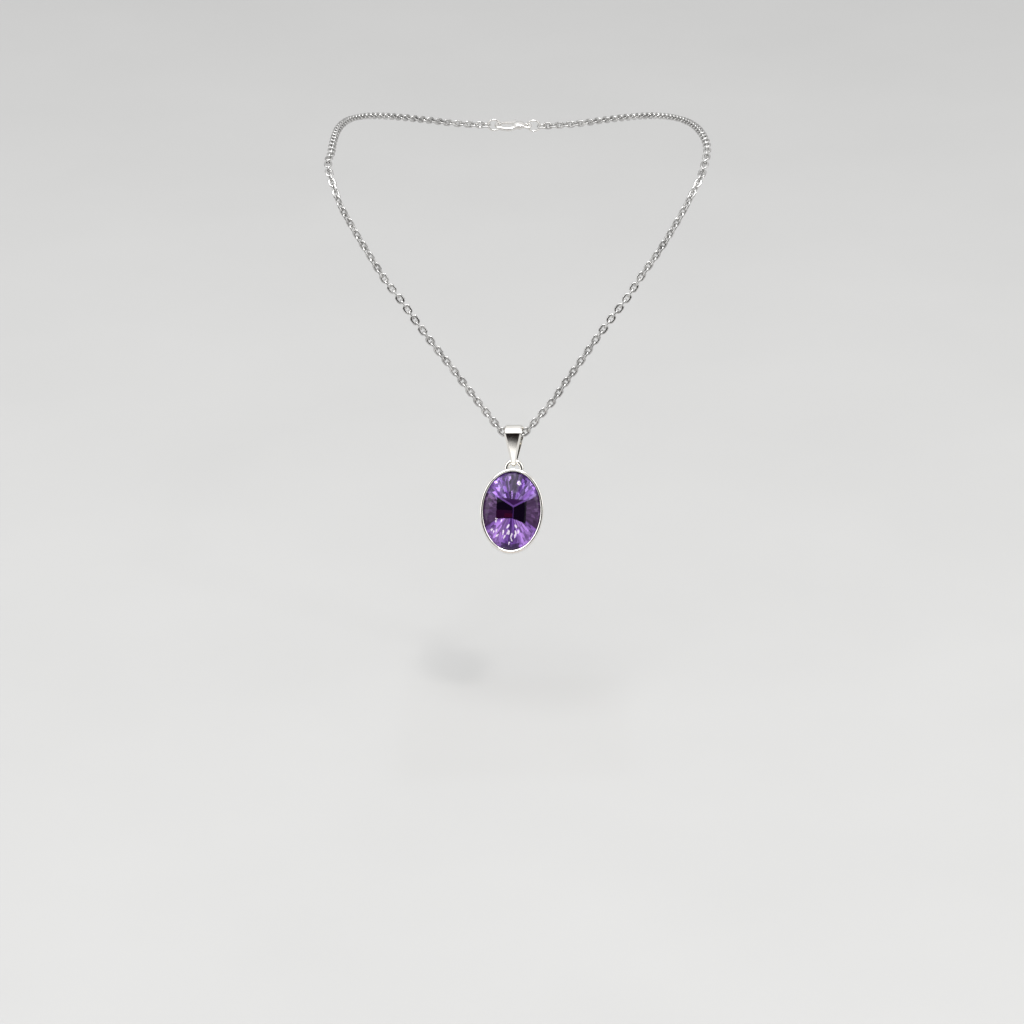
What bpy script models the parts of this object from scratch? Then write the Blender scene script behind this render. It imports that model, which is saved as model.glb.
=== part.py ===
"""Pendant necklace: a fine cable chain with a lobster clasp, a tapered bail and an oval stone in a bezel.

Units are metres. +X is the wearer's left as seen from the front, -Y is the front and +Z is up.
The origin is the centre of the neck, level with the crests of the shoulders that the chain lies on.
"""

import math

import bmesh
import bpy
import numpy as np
from mathutils import Matrix, Vector

MM = 0.001

# Chain
WIRE = 0.48 * MM
LINK_LENGTH = 2.46 * MM
LINK_WIDTH = 1.75 * MM
PITCH = 1.42 * MM
CHAIN_DIAMETER = 1.7 * MM
RUN_GAP = 0.30 * MM
BAIL_ROOM = 0.60 * MM
TUBE_STEP = 4.0 * MM
LINK_ROLL = math.radians(22)

# Links are counted from the one at the bottom of the V, upwards on both sides.
MIDDLE_LINK = 25
SHOULDER_LINK = 54
END_LINK = 127

# Rolls of the links at the two swing axes: the wire that carries, and the link that hangs on it.
HINGE_ROLLS = {
    MIDDLE_LINK: math.pi / 2,
    MIDDLE_LINK + 1: 0.0,
    SHOULDER_LINK: math.pi / 2,
    SHOULDER_LINK + 1: 0.0,
}

# Bail
BAIL_TOP_RADIUS = 1.80 * MM
BAIL_FOOT_RADIUS = 0.75 * MM
BAIL_DROP = 5.75 * MM
BAIL_SHEET = 0.30 * MM
BAIL_TOP_WIDTH = 4.0 * MM
BAIL_FOOT_WIDTH = 1.1 * MM
BAIL_CROWN = 0.12 * MM
BAIL_RISE = 0.50 * MM
BAIL_TURN = math.radians(-8)

# Pendant
PENDANT_LEAN = math.radians(-27)
PENDANT_TILT = math.radians(3)
LOOP_RADIUS = 1.65 * MM
LOOP_WIRE = 1.0 * MM
LOOP_FOOT_DEPTH = 0.20 * MM
BEZEL_HALF_WIDTH = 6.95 * MM
BEZEL_HALF_HEIGHT = 9.30 * MM
BEZEL_GAP_TO_LOOP = 0.15 * MM
BEZEL_FRONT = -2.4 * MM
BEZEL_BACK = 3.0 * MM
BEZEL_WALL = 0.40 * MM
BEZEL_LIP = 0.65 * MM
BEZEL_FLANGE = 0.90 * MM
SEAT_GAP = 0.05 * MM
SEAT_WIDTH = 0.55 * MM
STONE_HALF_WIDTH = 6.50 * MM
STONE_HALF_HEIGHT = 8.85 * MM
GIRDLE_FRONT = -1.60 * MM
GIRDLE_BACK = -1.30 * MM
STONE_FRONT = -3.80 * MM
STONE_BACK = 2.60 * MM
OVAL_STEPS = 48

# Clasp
RING_RADIUS = 1.525 * MM
RING_WIRE = 0.50 * MM
RING_PLAY = 0.03 * MM
EYE_RADIUS = 0.80 * MM
EYE_WIRE = 0.56 * MM
HOOK_WIRE = 1.0 * MM
PIVOT = (2.6 * MM, -0.75 * MM)
CATCH_RING_CENTRE = 8.0 * MM
PIN_RADIUS = 0.22 * MM
PIN_LENGTH = 1.40 * MM
PIN_PLAY = 0.05 * MM
SLOT_WIDTH = 0.80 * MM
LEVER_THICKNESS = 0.60 * MM

# The line of the chain, in millimetres, from the clasp end on the right,
# over the right shoulder, down the V, up again and back to the clasp end on the left.
CHAIN_ROUTE = [
    (2.0, 84.6, -20.5),
    (8.0, 84.6, -20.5),
    (14.5, 82.6, -19.4),
    (21.5, 77.1, -16.6),
    (28.0, 68.0, -12.8),
    (33.5, 55.9, -8.6),
    (37.8, 41.7, -4.6),
    (40.7, 26.6, -1.2),
    (42.3, 12.5, 0.9),
    (42.8, 3.5, 1.2),
    (42.5, -0.5, 0.5),
    (41.8, -4.2, -0.8),
    (41.0, -7.0, -2.2),
    (39.5, -9.3, -4.4),
    (37.7, -11.1, -7.5),
    (34.2, -13.2, -13.2),
    (31.2, -14.8, -17.6),
    (28.1, -16.3, -21.7),
    (24.8, -18.0, -26.4),
    (21.3, -19.6, -30.7),
    (17.8, -21.2, -35.2),
    (14.1, -23.0, -40.2),
    (11.2, -24.4, -44.0),
    (8.4, -25.8, -47.8),
    (6.3, -26.6, -50.1),
    (4.3, -27.4, -52.3),
    (2.2, -28.1, -54.3),
    (0.0, -28.5, -55.1),
    (-2.2, -28.1, -54.3),
    (-4.2, -27.4, -52.2),
    (-7.2, -26.1, -48.7),
    (-10.8, -24.5, -44.3),
    (-14.1, -23.1, -40.3),
    (-17.8, -21.5, -35.9),
    (-21.3, -19.9, -31.5),
    (-24.8, -18.2, -26.9),
    (-28.2, -16.7, -22.8),
    (-31.0, -15.2, -18.7),
    (-33.7, -13.7, -14.6),
    (-36.0, -12.4, -10.9),
    (-38.0, -11.1, -7.5),
    (-39.5, -8.9, -4.0),
    (-40.7, -5.6, -1.4),
    (-41.0, -2.0, -0.2),
    (-40.6, 2.5, -0.1),
    (-40.4, 12.5, -0.4),
    (-39.8, 26.6, -2.0),
    (-38.0, 42.0, -5.0),
    (-34.4, 56.3, -8.8),
    (-28.8, 68.5, -12.9),
    (-21.5, 77.7, -16.7),
    (-14.5, 83.3, -19.4),
    (-8.0, 85.3, -20.5),
    (-2.0, 85.3, -20.5),
]
BOTTOM_POINT = 27
CURVE_STEPS = 24


def clear_scene():
    for existing in list(bpy.data.objects):
        bpy.data.objects.remove(existing, do_unlink=True)


def metal(name, colour, roughness):
    made = bpy.data.materials.new(name)
    made.use_nodes = True
    shader = made.node_tree.nodes["Principled BSDF"]
    shader.inputs["Base Color"].default_value = (*colour, 1.0)
    shader.inputs["Metallic"].default_value = 1.0
    shader.inputs["Roughness"].default_value = roughness
    return made


def gem(name, colour, roughness):
    made = metal(name, colour, roughness)
    shader = made.node_tree.nodes["Principled BSDF"]
    shader.inputs["Metallic"].default_value = 0.0
    shader.inputs["Transmission Weight"].default_value = 0.5
    return made


def add_object(name, data, colour, roughness, place=None):
    """Links a mesh or curve as one named sub-part with its own material."""
    made = bpy.data.objects.new(name, data)
    if place is not None:
        made.matrix_world = place
    if name == "gemstone":
        finish = gem(name, colour, roughness)
    else:
        finish = metal(name, colour, roughness)
    data.materials.clear()
    data.materials.append(finish)
    bpy.context.scene.collection.objects.link(made)
    return made


SILVER = (0.86, 0.85, 0.83)
WARM_SILVER = (0.88, 0.86, 0.82)
STEEL = (0.70, 0.70, 0.71)
AMETHYST = (0.30, 0.12, 0.46)


def mesh_of(name, builder, smooth_angle=40):
    """Turns a bmesh into a mesh with its faces facing out and its round sides smooth."""
    bmesh.ops.recalc_face_normals(builder, faces=builder.faces)
    made = bpy.data.meshes.new(name)
    builder.to_mesh(made)
    builder.free()
    made.shade_smooth()
    made.set_sharp_from_angle(angle=math.radians(smooth_angle))
    return made


def ring_strip(builder, first, second):
    """Bridges two closed loops of vertices that have the same number of points."""
    count = len(first)
    for i in range(count):
        j = (i + 1) % count
        builder.faces.new((first[i], first[j], second[j], second[i]))


def swept_loop(sections):
    """A closed tube through closed cross-sections, each a list of points."""
    builder = bmesh.new()
    loops = [[builder.verts.new(p) for p in section] for section in sections]
    for i, loop in enumerate(loops):
        ring_strip(builder, loop, loops[(i + 1) % len(loops)])
    return builder


def swept_bar(sections):
    """A bar through closed cross-sections, with a flat cap at each end."""
    builder = bmesh.new()
    loops = [[builder.verts.new(p) for p in section] for section in sections]
    for first, second in zip(loops, loops[1:]):
        ring_strip(builder, first, second)
    builder.faces.new(list(reversed(loops[0])))
    builder.faces.new(loops[-1])
    return builder


def wire_sections(line, outward, radius, sides):
    """Round sections along a flat line in the XY plane, with its in-plane normals given."""
    sections = []
    for point, normal in zip(line, outward):
        section = []
        for k in range(sides):
            angle = math.tau * k / sides
            across = normal * (radius * math.cos(angle))
            section.append(point + across + Vector((0, 0, radius * math.sin(angle))))
        sections.append(section)
    return sections


# ---------------------------------------------------------------- the chain's line


def centripetal_point(p0, p1, p2, p3, share):
    """A point between p1 and p2 on the centripetal Catmull-Rom curve through four points."""
    t0 = 0.0
    t1 = t0 + math.sqrt(np.linalg.norm(p1 - p0))
    t2 = t1 + math.sqrt(np.linalg.norm(p2 - p1))
    t3 = t2 + math.sqrt(np.linalg.norm(p3 - p2))
    t = t1 + (t2 - t1) * share
    a1 = (t1 - t) / (t1 - t0) * p0 + (t - t0) / (t1 - t0) * p1
    a2 = (t2 - t) / (t2 - t1) * p1 + (t - t1) / (t2 - t1) * p2
    a3 = (t3 - t) / (t3 - t2) * p2 + (t - t2) / (t3 - t2) * p3
    b1 = (t2 - t) / (t2 - t0) * a1 + (t - t0) / (t2 - t0) * a2
    b2 = (t3 - t) / (t3 - t1) * a2 + (t - t1) / (t3 - t1) * a3
    return (t2 - t) / (t2 - t1) * b1 + (t - t1) / (t2 - t1) * b2


class ChainLine:
    """The smooth line of the chain, measured in metres from the bottom of the V.

    Positions are positive on the right side (+X) and negative on the left side.
    """

    def __init__(self, route, bottom):
        knots = [np.array(p, float) * MM for p in route]
        ends = [2 * knots[0] - knots[1]], [2 * knots[-1] - knots[-2]]
        knots = ends[0] + knots + ends[1]
        points = []
        for i in range(1, len(knots) - 2):
            for k in range(CURVE_STEPS):
                share = k / CURVE_STEPS
                points.append(centripetal_point(*knots[i - 1 : i + 3], share))
        points.append(knots[-2])
        self.points = np.array(points)
        steps = np.linalg.norm(np.diff(self.points, axis=0), axis=1)
        run = np.concatenate([[0.0], np.cumsum(steps)])
        self.at = run[bottom * CURVE_STEPS] - run

    def point(self, s):
        return Vector([np.interp(-s, -self.at, self.points[:, k]) for k in range(3)])

    def tangent(self, s):
        """The unit direction from the left end towards the right end."""
        step = 0.2 * MM
        return (self.point(s + step) - self.point(s - step)).normalized()

    def face_normal(self, s):
        """The chain's outward normal, square to its line: away from the neck and the chest."""
        here = self.point(s)
        away = Vector((here.x * 0.6, here.y - 22 * MM, 30 * MM)).normalized()
        along = self.tangent(s)
        return (away - along * away.dot(along)).normalized()

    def link_frame(self, number):
        """The place of link number 0, 1, -1 and so on: its X runs along the chain.

        Neighbours are a quarter turn apart. Where the front swings, the wire that it
        hangs on lies as near to the swing axis as the chain's direction lets it.
        """
        s = number * PITCH
        along = self.tangent(s)
        normal = self.face_normal(s)
        side = normal.cross(along)
        roll = LINK_ROLL + (math.pi / 2 if number % 2 else 0.0)
        if abs(number) in HINGE_ROLLS:
            roll = math.atan2(normal.x, side.x) + HINGE_ROLLS[abs(number)]
        flat = side * math.cos(roll) + normal * math.sin(roll)
        up = along.cross(flat)
        turn = Matrix((along, flat, up)).transposed().to_4x4()
        return Matrix.Translation(self.point(s)) @ turn

    def hinge_point(self, number):
        """The middle of the end wire that link number hangs on, in the next link towards the clasp."""
        sign = 1 if number > 0 else -1
        return self.point((number + sign) * PITCH - sign * (LINK_LENGTH - WIRE) / 2)


# ---------------------------------------------------------------- chain parts


def link_mesh():
    """A flat oval link: round wire along two half circles and two straight sides."""
    bend = (LINK_WIDTH - WIRE) / 2
    straight = (LINK_LENGTH - LINK_WIDTH) / 2
    line, outward = [], []
    half = 8
    for side in (1, -1):
        for k in range(half + 1):
            angle = -math.pi / 2 + math.pi * k / half
            normal = Vector((side * math.cos(angle), side * math.sin(angle), 0))
            line.append(Vector((side * straight, 0, 0)) + normal * bend)
            outward.append(normal)
    return mesh_of("link", swept_loop(wire_sections(line, outward, WIRE / 2, 8)))


def add_link(name, number, line, shared):
    return add_object(name, shared.copy(), SILVER, 0.15, line.link_frame(number))


def add_run(name, line, first, last, room=0.0):
    """A tube for the links from first to last, both included, short of its first end by some room."""
    sign = 1 if last > 0 else -1
    clear = LINK_LENGTH / 2 - PITCH + RUN_GAP
    start = first * PITCH + sign * (clear + room)
    end = last * PITCH - sign * clear
    count = max(2, math.ceil(abs(end - start) / TUBE_STEP) + 1)
    curve = bpy.data.curves.new(name, "CURVE")
    curve.dimensions = "3D"
    curve.bevel_depth = CHAIN_DIAMETER / 2
    curve.bevel_resolution = 2
    curve.render_resolution_u = 0
    curve.use_fill_caps = True
    spline = curve.splines.new("POLY")
    spline.points.add(count - 1)
    for i in range(count):
        s = start + (end - start) * i / (count - 1)
        spline.points[i].co = (*line.point(s), 1.0)
    return add_object(name, curve, SILVER, 0.2)


def add_joint(name, line, number):
    """An empty on the swing axis between the two links that meet beyond this number."""
    made = bpy.data.objects.new(name, None)
    made.empty_display_size = 3 * MM
    made.matrix_world = Matrix.Translation((line.hinge_point(number) + line.hinge_point(-number)) / 2)
    bpy.context.scene.collection.objects.link(made)
    return made


def hang_on(joint, *pieces):
    for piece in pieces:
        place = piece.matrix_world.copy()
        piece.parent = joint
        piece.matrix_parent_inverse = Matrix.Translation(-joint.matrix_world.translation)
        piece.matrix_world = place


def add_chain(line):
    shared = link_mesh()
    upper = add_joint("front_swing_joint", line, SHOULDER_LINK)
    lower = add_joint("lower_swing_joint", line, MIDDLE_LINK)
    for side, sign in (("right", 1), ("left", -1)):
        first, last = sign * 2, sign * (MIDDLE_LINK - 1)
        low_run = add_run(f"front_lower_chain_{side}", line, first, last, BAIL_ROOM)
        low_end = add_link(f"lower_swing_link_{side}", sign * MIDDLE_LINK, line, shared)
        at_bail = add_link(f"bail_link_{side}", sign, line, shared)
        hang_on(lower, low_run, low_end, at_bail)
        middle = add_link(f"middle_link_{side}", sign * (MIDDLE_LINK + 1), line, shared)
        first, last = sign * (MIDDLE_LINK + 2), sign * (SHOULDER_LINK - 1)
        high_run = add_run(f"front_upper_chain_{side}", line, first, last)
        high_end = add_link(f"upper_swing_link_{side}", sign * SHOULDER_LINK, line, shared)
        hang_on(upper, middle, high_run, high_end)
        add_link(f"shoulder_link_{side}", sign * (SHOULDER_LINK + 1), line, shared)
        first, last = sign * (SHOULDER_LINK + 2), sign * (END_LINK - 1)
        add_run(f"back_chain_{side}", line, first, last)
    hang_on(lower, add_link("bail_link_centre", 0, line, shared))
    return shared


# ---------------------------------------------------------------- bail


def bail_outline(offset):
    """Side view of the bail's band as (depth, height) points, offset outwards from its inside."""
    top = BAIL_TOP_RADIUS + offset
    foot = BAIL_FOOT_RADIUS + offset
    slope = math.asin((top - foot) / BAIL_DROP)
    points = []
    top_steps, foot_steps, side_steps = 16, 10, 7
    for k in range(top_steps + 1):
        angle = -slope + (math.pi + 2 * slope) * k / top_steps
        points.append((top * math.cos(angle), top * math.sin(angle)))
    foot_points = []
    for k in range(foot_steps + 1):
        angle = math.pi + slope + (math.pi - 2 * slope) * k / foot_steps
        foot_points.append((foot * math.cos(angle), foot * math.sin(angle) - BAIL_DROP))
    left = straight_points(points[-1], foot_points[0], side_steps)
    right = straight_points(foot_points[-1], points[0], side_steps)
    return points + left + foot_points + right


def straight_points(start, end, count):
    """Points between start and end, without the two ends."""
    made = []
    for k in range(1, count):
        share = k / count
        made.append(tuple(a + (b - a) * share for a, b in zip(start, end)))
    return made


def bail_width(height):
    """Half the band's width at this height: wide over the chain, narrow at the foot."""
    share = min(1.0, max(0.0, (0.3 * MM - height) / (BAIL_DROP + 0.6 * MM)))
    return (BAIL_TOP_WIDTH + (BAIL_FOOT_WIDTH - BAIL_TOP_WIDTH) * share) / 2


def bail_mesh():
    inside = bail_outline(0.0)
    outside = bail_outline(BAIL_SHEET)
    sections = []
    for (depth_in, height_in), (depth_out, height_out) in zip(inside, outside):
        half = bail_width((height_in + height_out) / 2)
        away = Vector((0, depth_out - depth_in, height_out - height_in)).normalized()
        outer = Vector((0, depth_out, height_out))
        inner = Vector((0, depth_in, height_in))
        side = Vector((half, 0, 0))
        sections.append(
            [
                inner - side,
                outer - side,
                outer - side * 0.5 + away * BAIL_CROWN * 0.75,
                outer + away * BAIL_CROWN,
                outer + side * 0.5 + away * BAIL_CROWN * 0.75,
                outer + side,
                inner + side,
            ]
        )
    return mesh_of("bail", swept_loop(sections), 30)


def bail_place(line):
    """The centre of the bail's round top, which turns about the lowest link."""
    centre = line.point(0.0) + Vector((0, 0, BAIL_RISE))
    lean = Matrix.Rotation(PENDANT_LEAN, 4, "X")
    return Matrix.Translation(centre) @ lean @ Matrix.Rotation(BAIL_TURN, 4, "Z")


# ---------------------------------------------------------------- pendant
# The pendant's own frame has its origin at the centre of the hanging loop,
# +X to the right, -Y out of the stone's face and +Z up.


def pendant_place(line):
    top = bail_place(line).translation
    lean = Matrix.Rotation(PENDANT_LEAN, 4, "X")
    drop = lean @ Vector((0, 0, -(BAIL_DROP + LOOP_RADIUS)))
    return Matrix.Translation(top + drop) @ lean @ Matrix.Rotation(PENDANT_TILT, 4, "Y")


def bezel_centre_height():
    return -(BEZEL_HALF_HEIGHT + BEZEL_GAP_TO_LOOP)


def oval_point(angle, half_width, half_height, inset, depth):
    """A point inset from an oval's edge, in the pendant's frame."""
    edge = Vector((half_width * math.cos(angle), 0, half_height * math.sin(angle)))
    normal = Vector((math.cos(angle) / half_width, 0, math.sin(angle) / half_height)).normalized()
    centre = Vector((0, depth, bezel_centre_height()))
    return centre + edge - normal * inset


def oval_band(profile, half_width, half_height):
    """A closed band round the oval from a profile of (inset, depth) points."""
    sections = []
    for k in range(OVAL_STEPS):
        angle = math.tau * k / OVAL_STEPS
        section = [oval_point(angle, half_width, half_height, i, d) for i, d in profile]
        sections.append(section)
    return swept_loop(sections)


def bezel_wall_mesh():
    lip_under = BEZEL_FRONT + 0.40 * MM
    profile = [
        (0.0, BEZEL_BACK),
        (0.0, BEZEL_FRONT + 0.30 * MM),
        (0.12 * MM, BEZEL_FRONT + 0.08 * MM),
        (0.35 * MM, BEZEL_FRONT),
        (BEZEL_LIP, BEZEL_FRONT + 0.15 * MM),
        (BEZEL_LIP - 0.03 * MM, lip_under),
        (BEZEL_WALL, lip_under + 0.15 * MM),
        (BEZEL_WALL, BEZEL_BACK - 0.70 * MM),
        (BEZEL_FLANGE, BEZEL_BACK - 0.45 * MM),
        (BEZEL_FLANGE, BEZEL_BACK),
    ]
    return mesh_of("bezel_wall", oval_band(profile, BEZEL_HALF_WIDTH, BEZEL_HALF_HEIGHT))


def bezel_seat_mesh():
    outer = BEZEL_WALL + SEAT_GAP
    inner = outer + SEAT_WIDTH
    profile = [
        (outer, -0.90 * MM),
        (inner, -0.35 * MM),
        (inner, 0.45 * MM),
        (outer, 0.45 * MM),
    ]
    return mesh_of("bezel_seat", oval_band(profile, BEZEL_HALF_WIDTH, BEZEL_HALF_HEIGHT))


def stone_mesh():
    """A low-domed oval stone with a faceted pavilion that ends in a short keel."""
    rings = [
        (0.30, 0.30, STONE_FRONT + 0.10 * MM),
        (0.62, 0.62, STONE_FRONT + 0.48 * MM),
        (0.86, 0.86, STONE_FRONT + 1.20 * MM),
        (1.00, 1.00, GIRDLE_FRONT),
        (1.00, 1.00, GIRDLE_BACK),
        (0.72, 0.76, 0.25 * MM),
        (0.40, 0.52, 1.70 * MM),
        (0.08, 0.24, STONE_BACK),
    ]
    builder = bmesh.new()
    steps = 32
    loops = []
    for across, down, depth in rings:
        loop = []
        for k in range(steps):
            angle = math.tau * k / steps
            x = STONE_HALF_WIDTH * across * math.cos(angle)
            z = STONE_HALF_HEIGHT * down * math.sin(angle) + bezel_centre_height()
            loop.append(builder.verts.new((x, depth, z)))
        loops.append(loop)
    for first, second in zip(loops, loops[1:]):
        ring_strip(builder, first, second)
    crown = builder.verts.new((0, STONE_FRONT, bezel_centre_height()))
    for k in range(steps):
        builder.faces.new((crown, loops[0][(k + 1) % steps], loops[0][k]))
    builder.faces.new(loops[-1])
    return mesh_of("gemstone", builder, 20)


def hanging_loop_mesh():
    """Half a ring of round wire whose two feet stand on the bezel's top."""
    line, outward = [], []
    bend_steps = 16
    foot = LOOP_FOOT_DEPTH
    line.append(Vector((LOOP_RADIUS, -foot, 0)))
    outward.append(Vector((1, 0, 0)))
    for k in range(bend_steps + 1):
        angle = math.pi * k / bend_steps
        normal = Vector((math.cos(angle), math.sin(angle), 0))
        line.append(normal * LOOP_RADIUS)
        outward.append(normal)
    line.append(Vector((-LOOP_RADIUS, -foot, 0)))
    outward.append(Vector((-1, 0, 0)))
    builder = swept_bar(wire_sections(line, outward, LOOP_WIRE / 2, 12))
    stand_up = Matrix.Rotation(math.pi / 2, 4, "X")
    bmesh.ops.transform(builder, matrix=stand_up, verts=builder.verts)
    return mesh_of("hanging_loop", builder)


def add_pendant(line):
    add_object("bail", bail_mesh(), WARM_SILVER, 0.12, bail_place(line))
    place = pendant_place(line)
    add_object("hanging_loop", hanging_loop_mesh(), WARM_SILVER, 0.12, place)
    add_object("bezel_wall", bezel_wall_mesh(), WARM_SILVER, 0.12, place)
    add_object("bezel_seat", bezel_seat_mesh(), WARM_SILVER, 0.2, place)
    add_object("gemstone", stone_mesh(), AMETHYST, 0.05, place)


# ---------------------------------------------------------------- clasp
# The clasp's own frame has its origin at its tail eye, X towards the hook's nose,
# -Y towards the lever and Z through its thickness.


def torus_mesh(name, radius, wire, steps, sides):
    line, outward = [], []
    for k in range(steps):
        angle = math.tau * k / steps
        normal = Vector((math.cos(angle), math.sin(angle), 0))
        line.append(normal * radius)
        outward.append(normal)
    return mesh_of(name, swept_loop(wire_sections(line, outward, wire / 2, sides)))


def end_ring_offset():
    """How far a ring's centre lies past the centre of the chain's end link."""
    inside = (LINK_LENGTH / 2 - WIRE) - RING_WIRE / 2 - RING_PLAY
    return inside + RING_RADIUS


def clasp_place(line):
    """The clasp's frame: X runs from the right end of the chain to its left end."""
    right = line.link_frame(END_LINK).translation
    left = line.link_frame(-END_LINK).translation
    along = (left - right).normalized()
    eye = (right + left) / 2 + along * (end_ring_offset() + RING_RADIUS - clasp_span() / 2)
    thickness = Vector((0, -0.3, 1.0))
    thickness = (thickness - along * thickness.dot(along)).normalized()
    across = thickness.cross(along)
    turn = Matrix((along, across, thickness)).transposed().to_4x4()
    return Matrix.Translation(eye) @ turn


def clasp_span():
    """The distance between the chain's two end links that the clasp and its rings fill."""
    return 2 * end_ring_offset() + RING_RADIUS + CATCH_RING_CENTRE


def curve_bar(name, points, radii):
    """A round bar along a smooth line of (x, y) points in millimetres, as a mesh."""
    line = [Vector((x * MM, y * MM, 0)) for x, y in points]
    fine, fine_radii = [], []
    steps = 4
    padded = [2 * line[0] - line[1], *line, 2 * line[-1] - line[-2]]
    for i in range(len(line) - 1):
        four = [np.array(p) for p in padded[i : i + 4]]
        for k in range(steps):
            share = k / steps
            fine.append(Vector(centripetal_point(*four, share)))
            fine_radii.append(radii[i] + (radii[i + 1] - radii[i]) * share)
    fine.append(line[-1])
    fine_radii.append(radii[-1])
    sections = []
    sides = 10
    for i, (point, radius) in enumerate(zip(fine, fine_radii)):
        ahead = fine[min(i + 1, len(fine) - 1)] - fine[max(i - 1, 0)]
        normal = Vector((-ahead.y, ahead.x, 0)).normalized()
        section = []
        for k in range(sides):
            angle = math.tau * k / sides
            across = normal * (radius * MM * math.cos(angle))
            section.append(point + across + Vector((0, 0, radius * MM * math.sin(angle))))
        sections.append(section)
    return mesh_of(name, swept_bar(sections))


def helper(name, data, place=None):
    """A hidden object that only shapes another one."""
    made = bpy.data.objects.new(name, data)
    made.hide_render = True
    made.display_type = "WIRE"
    if place is not None:
        made.matrix_world = place
    bpy.context.scene.collection.objects.link(made)
    return made


def box_mesh(name, low, high):
    builder = bmesh.new()
    bmesh.ops.create_cube(builder, size=1.0)
    for vert in builder.verts:
        vert.co = Vector([(l + h) / 2 + c * (h - l) for l, h, c in zip(low, high, vert.co)])
    return mesh_of(name, builder)


def cylinder_mesh(name, radius, length, steps):
    builder = bmesh.new()
    bmesh.ops.create_cone(
        builder, cap_ends=True, segments=steps, radius1=radius, radius2=radius, depth=length
    )
    return mesh_of(name, builder)


def barrel_mesh():
    builder = bmesh.new()
    bmesh.ops.create_uvsphere(builder, u_segments=20, v_segments=12, radius=1.0)
    half_sizes = Vector((1.55 * MM, 1.30 * MM, 0.86 * MM))
    for vert in builder.verts:
        vert.co = Vector(
            (vert.co.z * half_sizes.x, vert.co.x * half_sizes.y, vert.co.y * half_sizes.z)
        )
        vert.co.x += 2.05 * MM
        vert.co.y += -0.10 * MM
    return mesh_of("lobster_barrel", builder)


def combine(target, tool, operation):
    modifier = target.modifiers.new(tool.name, "BOOLEAN")
    modifier.operation = operation
    modifier.solver = "EXACT"
    modifier.object = tool


def add_clasp(line, shared_link):
    place = clasp_place(line)
    turn_upright = Matrix.Rotation(math.pi / 2, 4, "X")
    ring_names = (("clasp_jump_ring", -RING_RADIUS), ("catch_ring", CATCH_RING_CENTRE))
    for name, centre in ring_names:
        ring = torus_mesh(name, RING_RADIUS, RING_WIRE, 24, 8)
        ring_place = place @ Matrix.Translation((centre, 0, 0)) @ turn_upright
        add_object(name, ring, SILVER, 0.15, ring_place)
    ends = (
        ("end_link_right", -RING_RADIUS - end_ring_offset()),
        ("end_link_left", CATCH_RING_CENTRE + end_ring_offset()),
    )
    for name, centre in ends:
        link_place = place @ Matrix.Translation((centre, 0, 0))
        add_object(name, shared_link.copy(), SILVER, 0.15, link_place)

    eye = torus_mesh("lobster_eye", EYE_RADIUS, EYE_WIRE, 20, 8)
    body = add_object("lobster_body", eye, SILVER, 0.15, place)
    barrel = helper("cutter_barrel", barrel_mesh(), place)
    hook_points = [
        (2.3, 0.35),
        (3.4, 1.15),
        (4.7, 1.55),
        (6.0, 1.35),
        (7.05, 0.75),
        (7.5, 0.0),
        (7.25, -0.75),
        (6.72, -1.20),
    ]
    hook_radii = [0.62, 0.60, 0.55, 0.52, 0.50, 0.50, 0.42, 0.32]
    hook = helper("cutter_hook", curve_bar("hook", hook_points, hook_radii), place)
    slot_low = (1.30 * MM, -2.0 * MM, -SLOT_WIDTH / 2)
    slot_high = (4.60 * MM, -0.05 * MM, SLOT_WIDTH / 2)
    slot = helper("cutter_slot", box_mesh("slot", slot_low, slot_high), place)
    pin_hole_radius = PIN_RADIUS + PIN_PLAY
    hole_mesh = cylinder_mesh("pin_hole", pin_hole_radius, 3 * MM, 16)
    at_pivot = place @ Matrix.Translation((*PIVOT, 0))
    hole = helper("cutter_pin_hole", hole_mesh, at_pivot)
    combine(body, barrel, "UNION")
    combine(body, hook, "UNION")
    combine(body, slot, "DIFFERENCE")
    combine(body, hole, "DIFFERENCE")

    pin = cylinder_mesh("lever_pin", PIN_RADIUS, PIN_LENGTH, 16)
    add_object("lever_pin", pin, STEEL, 0.3, at_pivot)
    lever = add_object("clasp_lever", lever_mesh(), SILVER, 0.15, at_pivot)
    combine(lever, hole, "DIFFERENCE")
    add_object("lever_spring", spring_mesh(), STEEL, 0.35, at_pivot)


def lever_mesh():
    """The lever's flat finger with its thumb tab, about the pin's axis."""
    outline = [
        (-0.50, 0.10),
        (-0.42, 0.32),
        (-0.15, 0.42),
        (0.60, 0.22),
        (1.50, -0.05),
        (2.60, -0.02),
        (3.35, 0.10),
        (3.62, 0.02),
        (3.66, -0.22),
        (3.45, -0.36),
        (2.60, -0.52),
        (1.60, -0.60),
        (1.05, -0.72),
        (0.85, -1.10),
        (0.55, -1.35),
        (0.20, -1.30),
        (0.02, -0.95),
        (-0.15, -0.60),
        (-0.42, -0.30),
    ]
    sections = []
    for height in (-LEVER_THICKNESS / 2, LEVER_THICKNESS / 2):
        sections.append([Vector((x * MM, y * MM, height)) for x, y in outline])
    return mesh_of("clasp_lever", swept_bar(sections))


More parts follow.
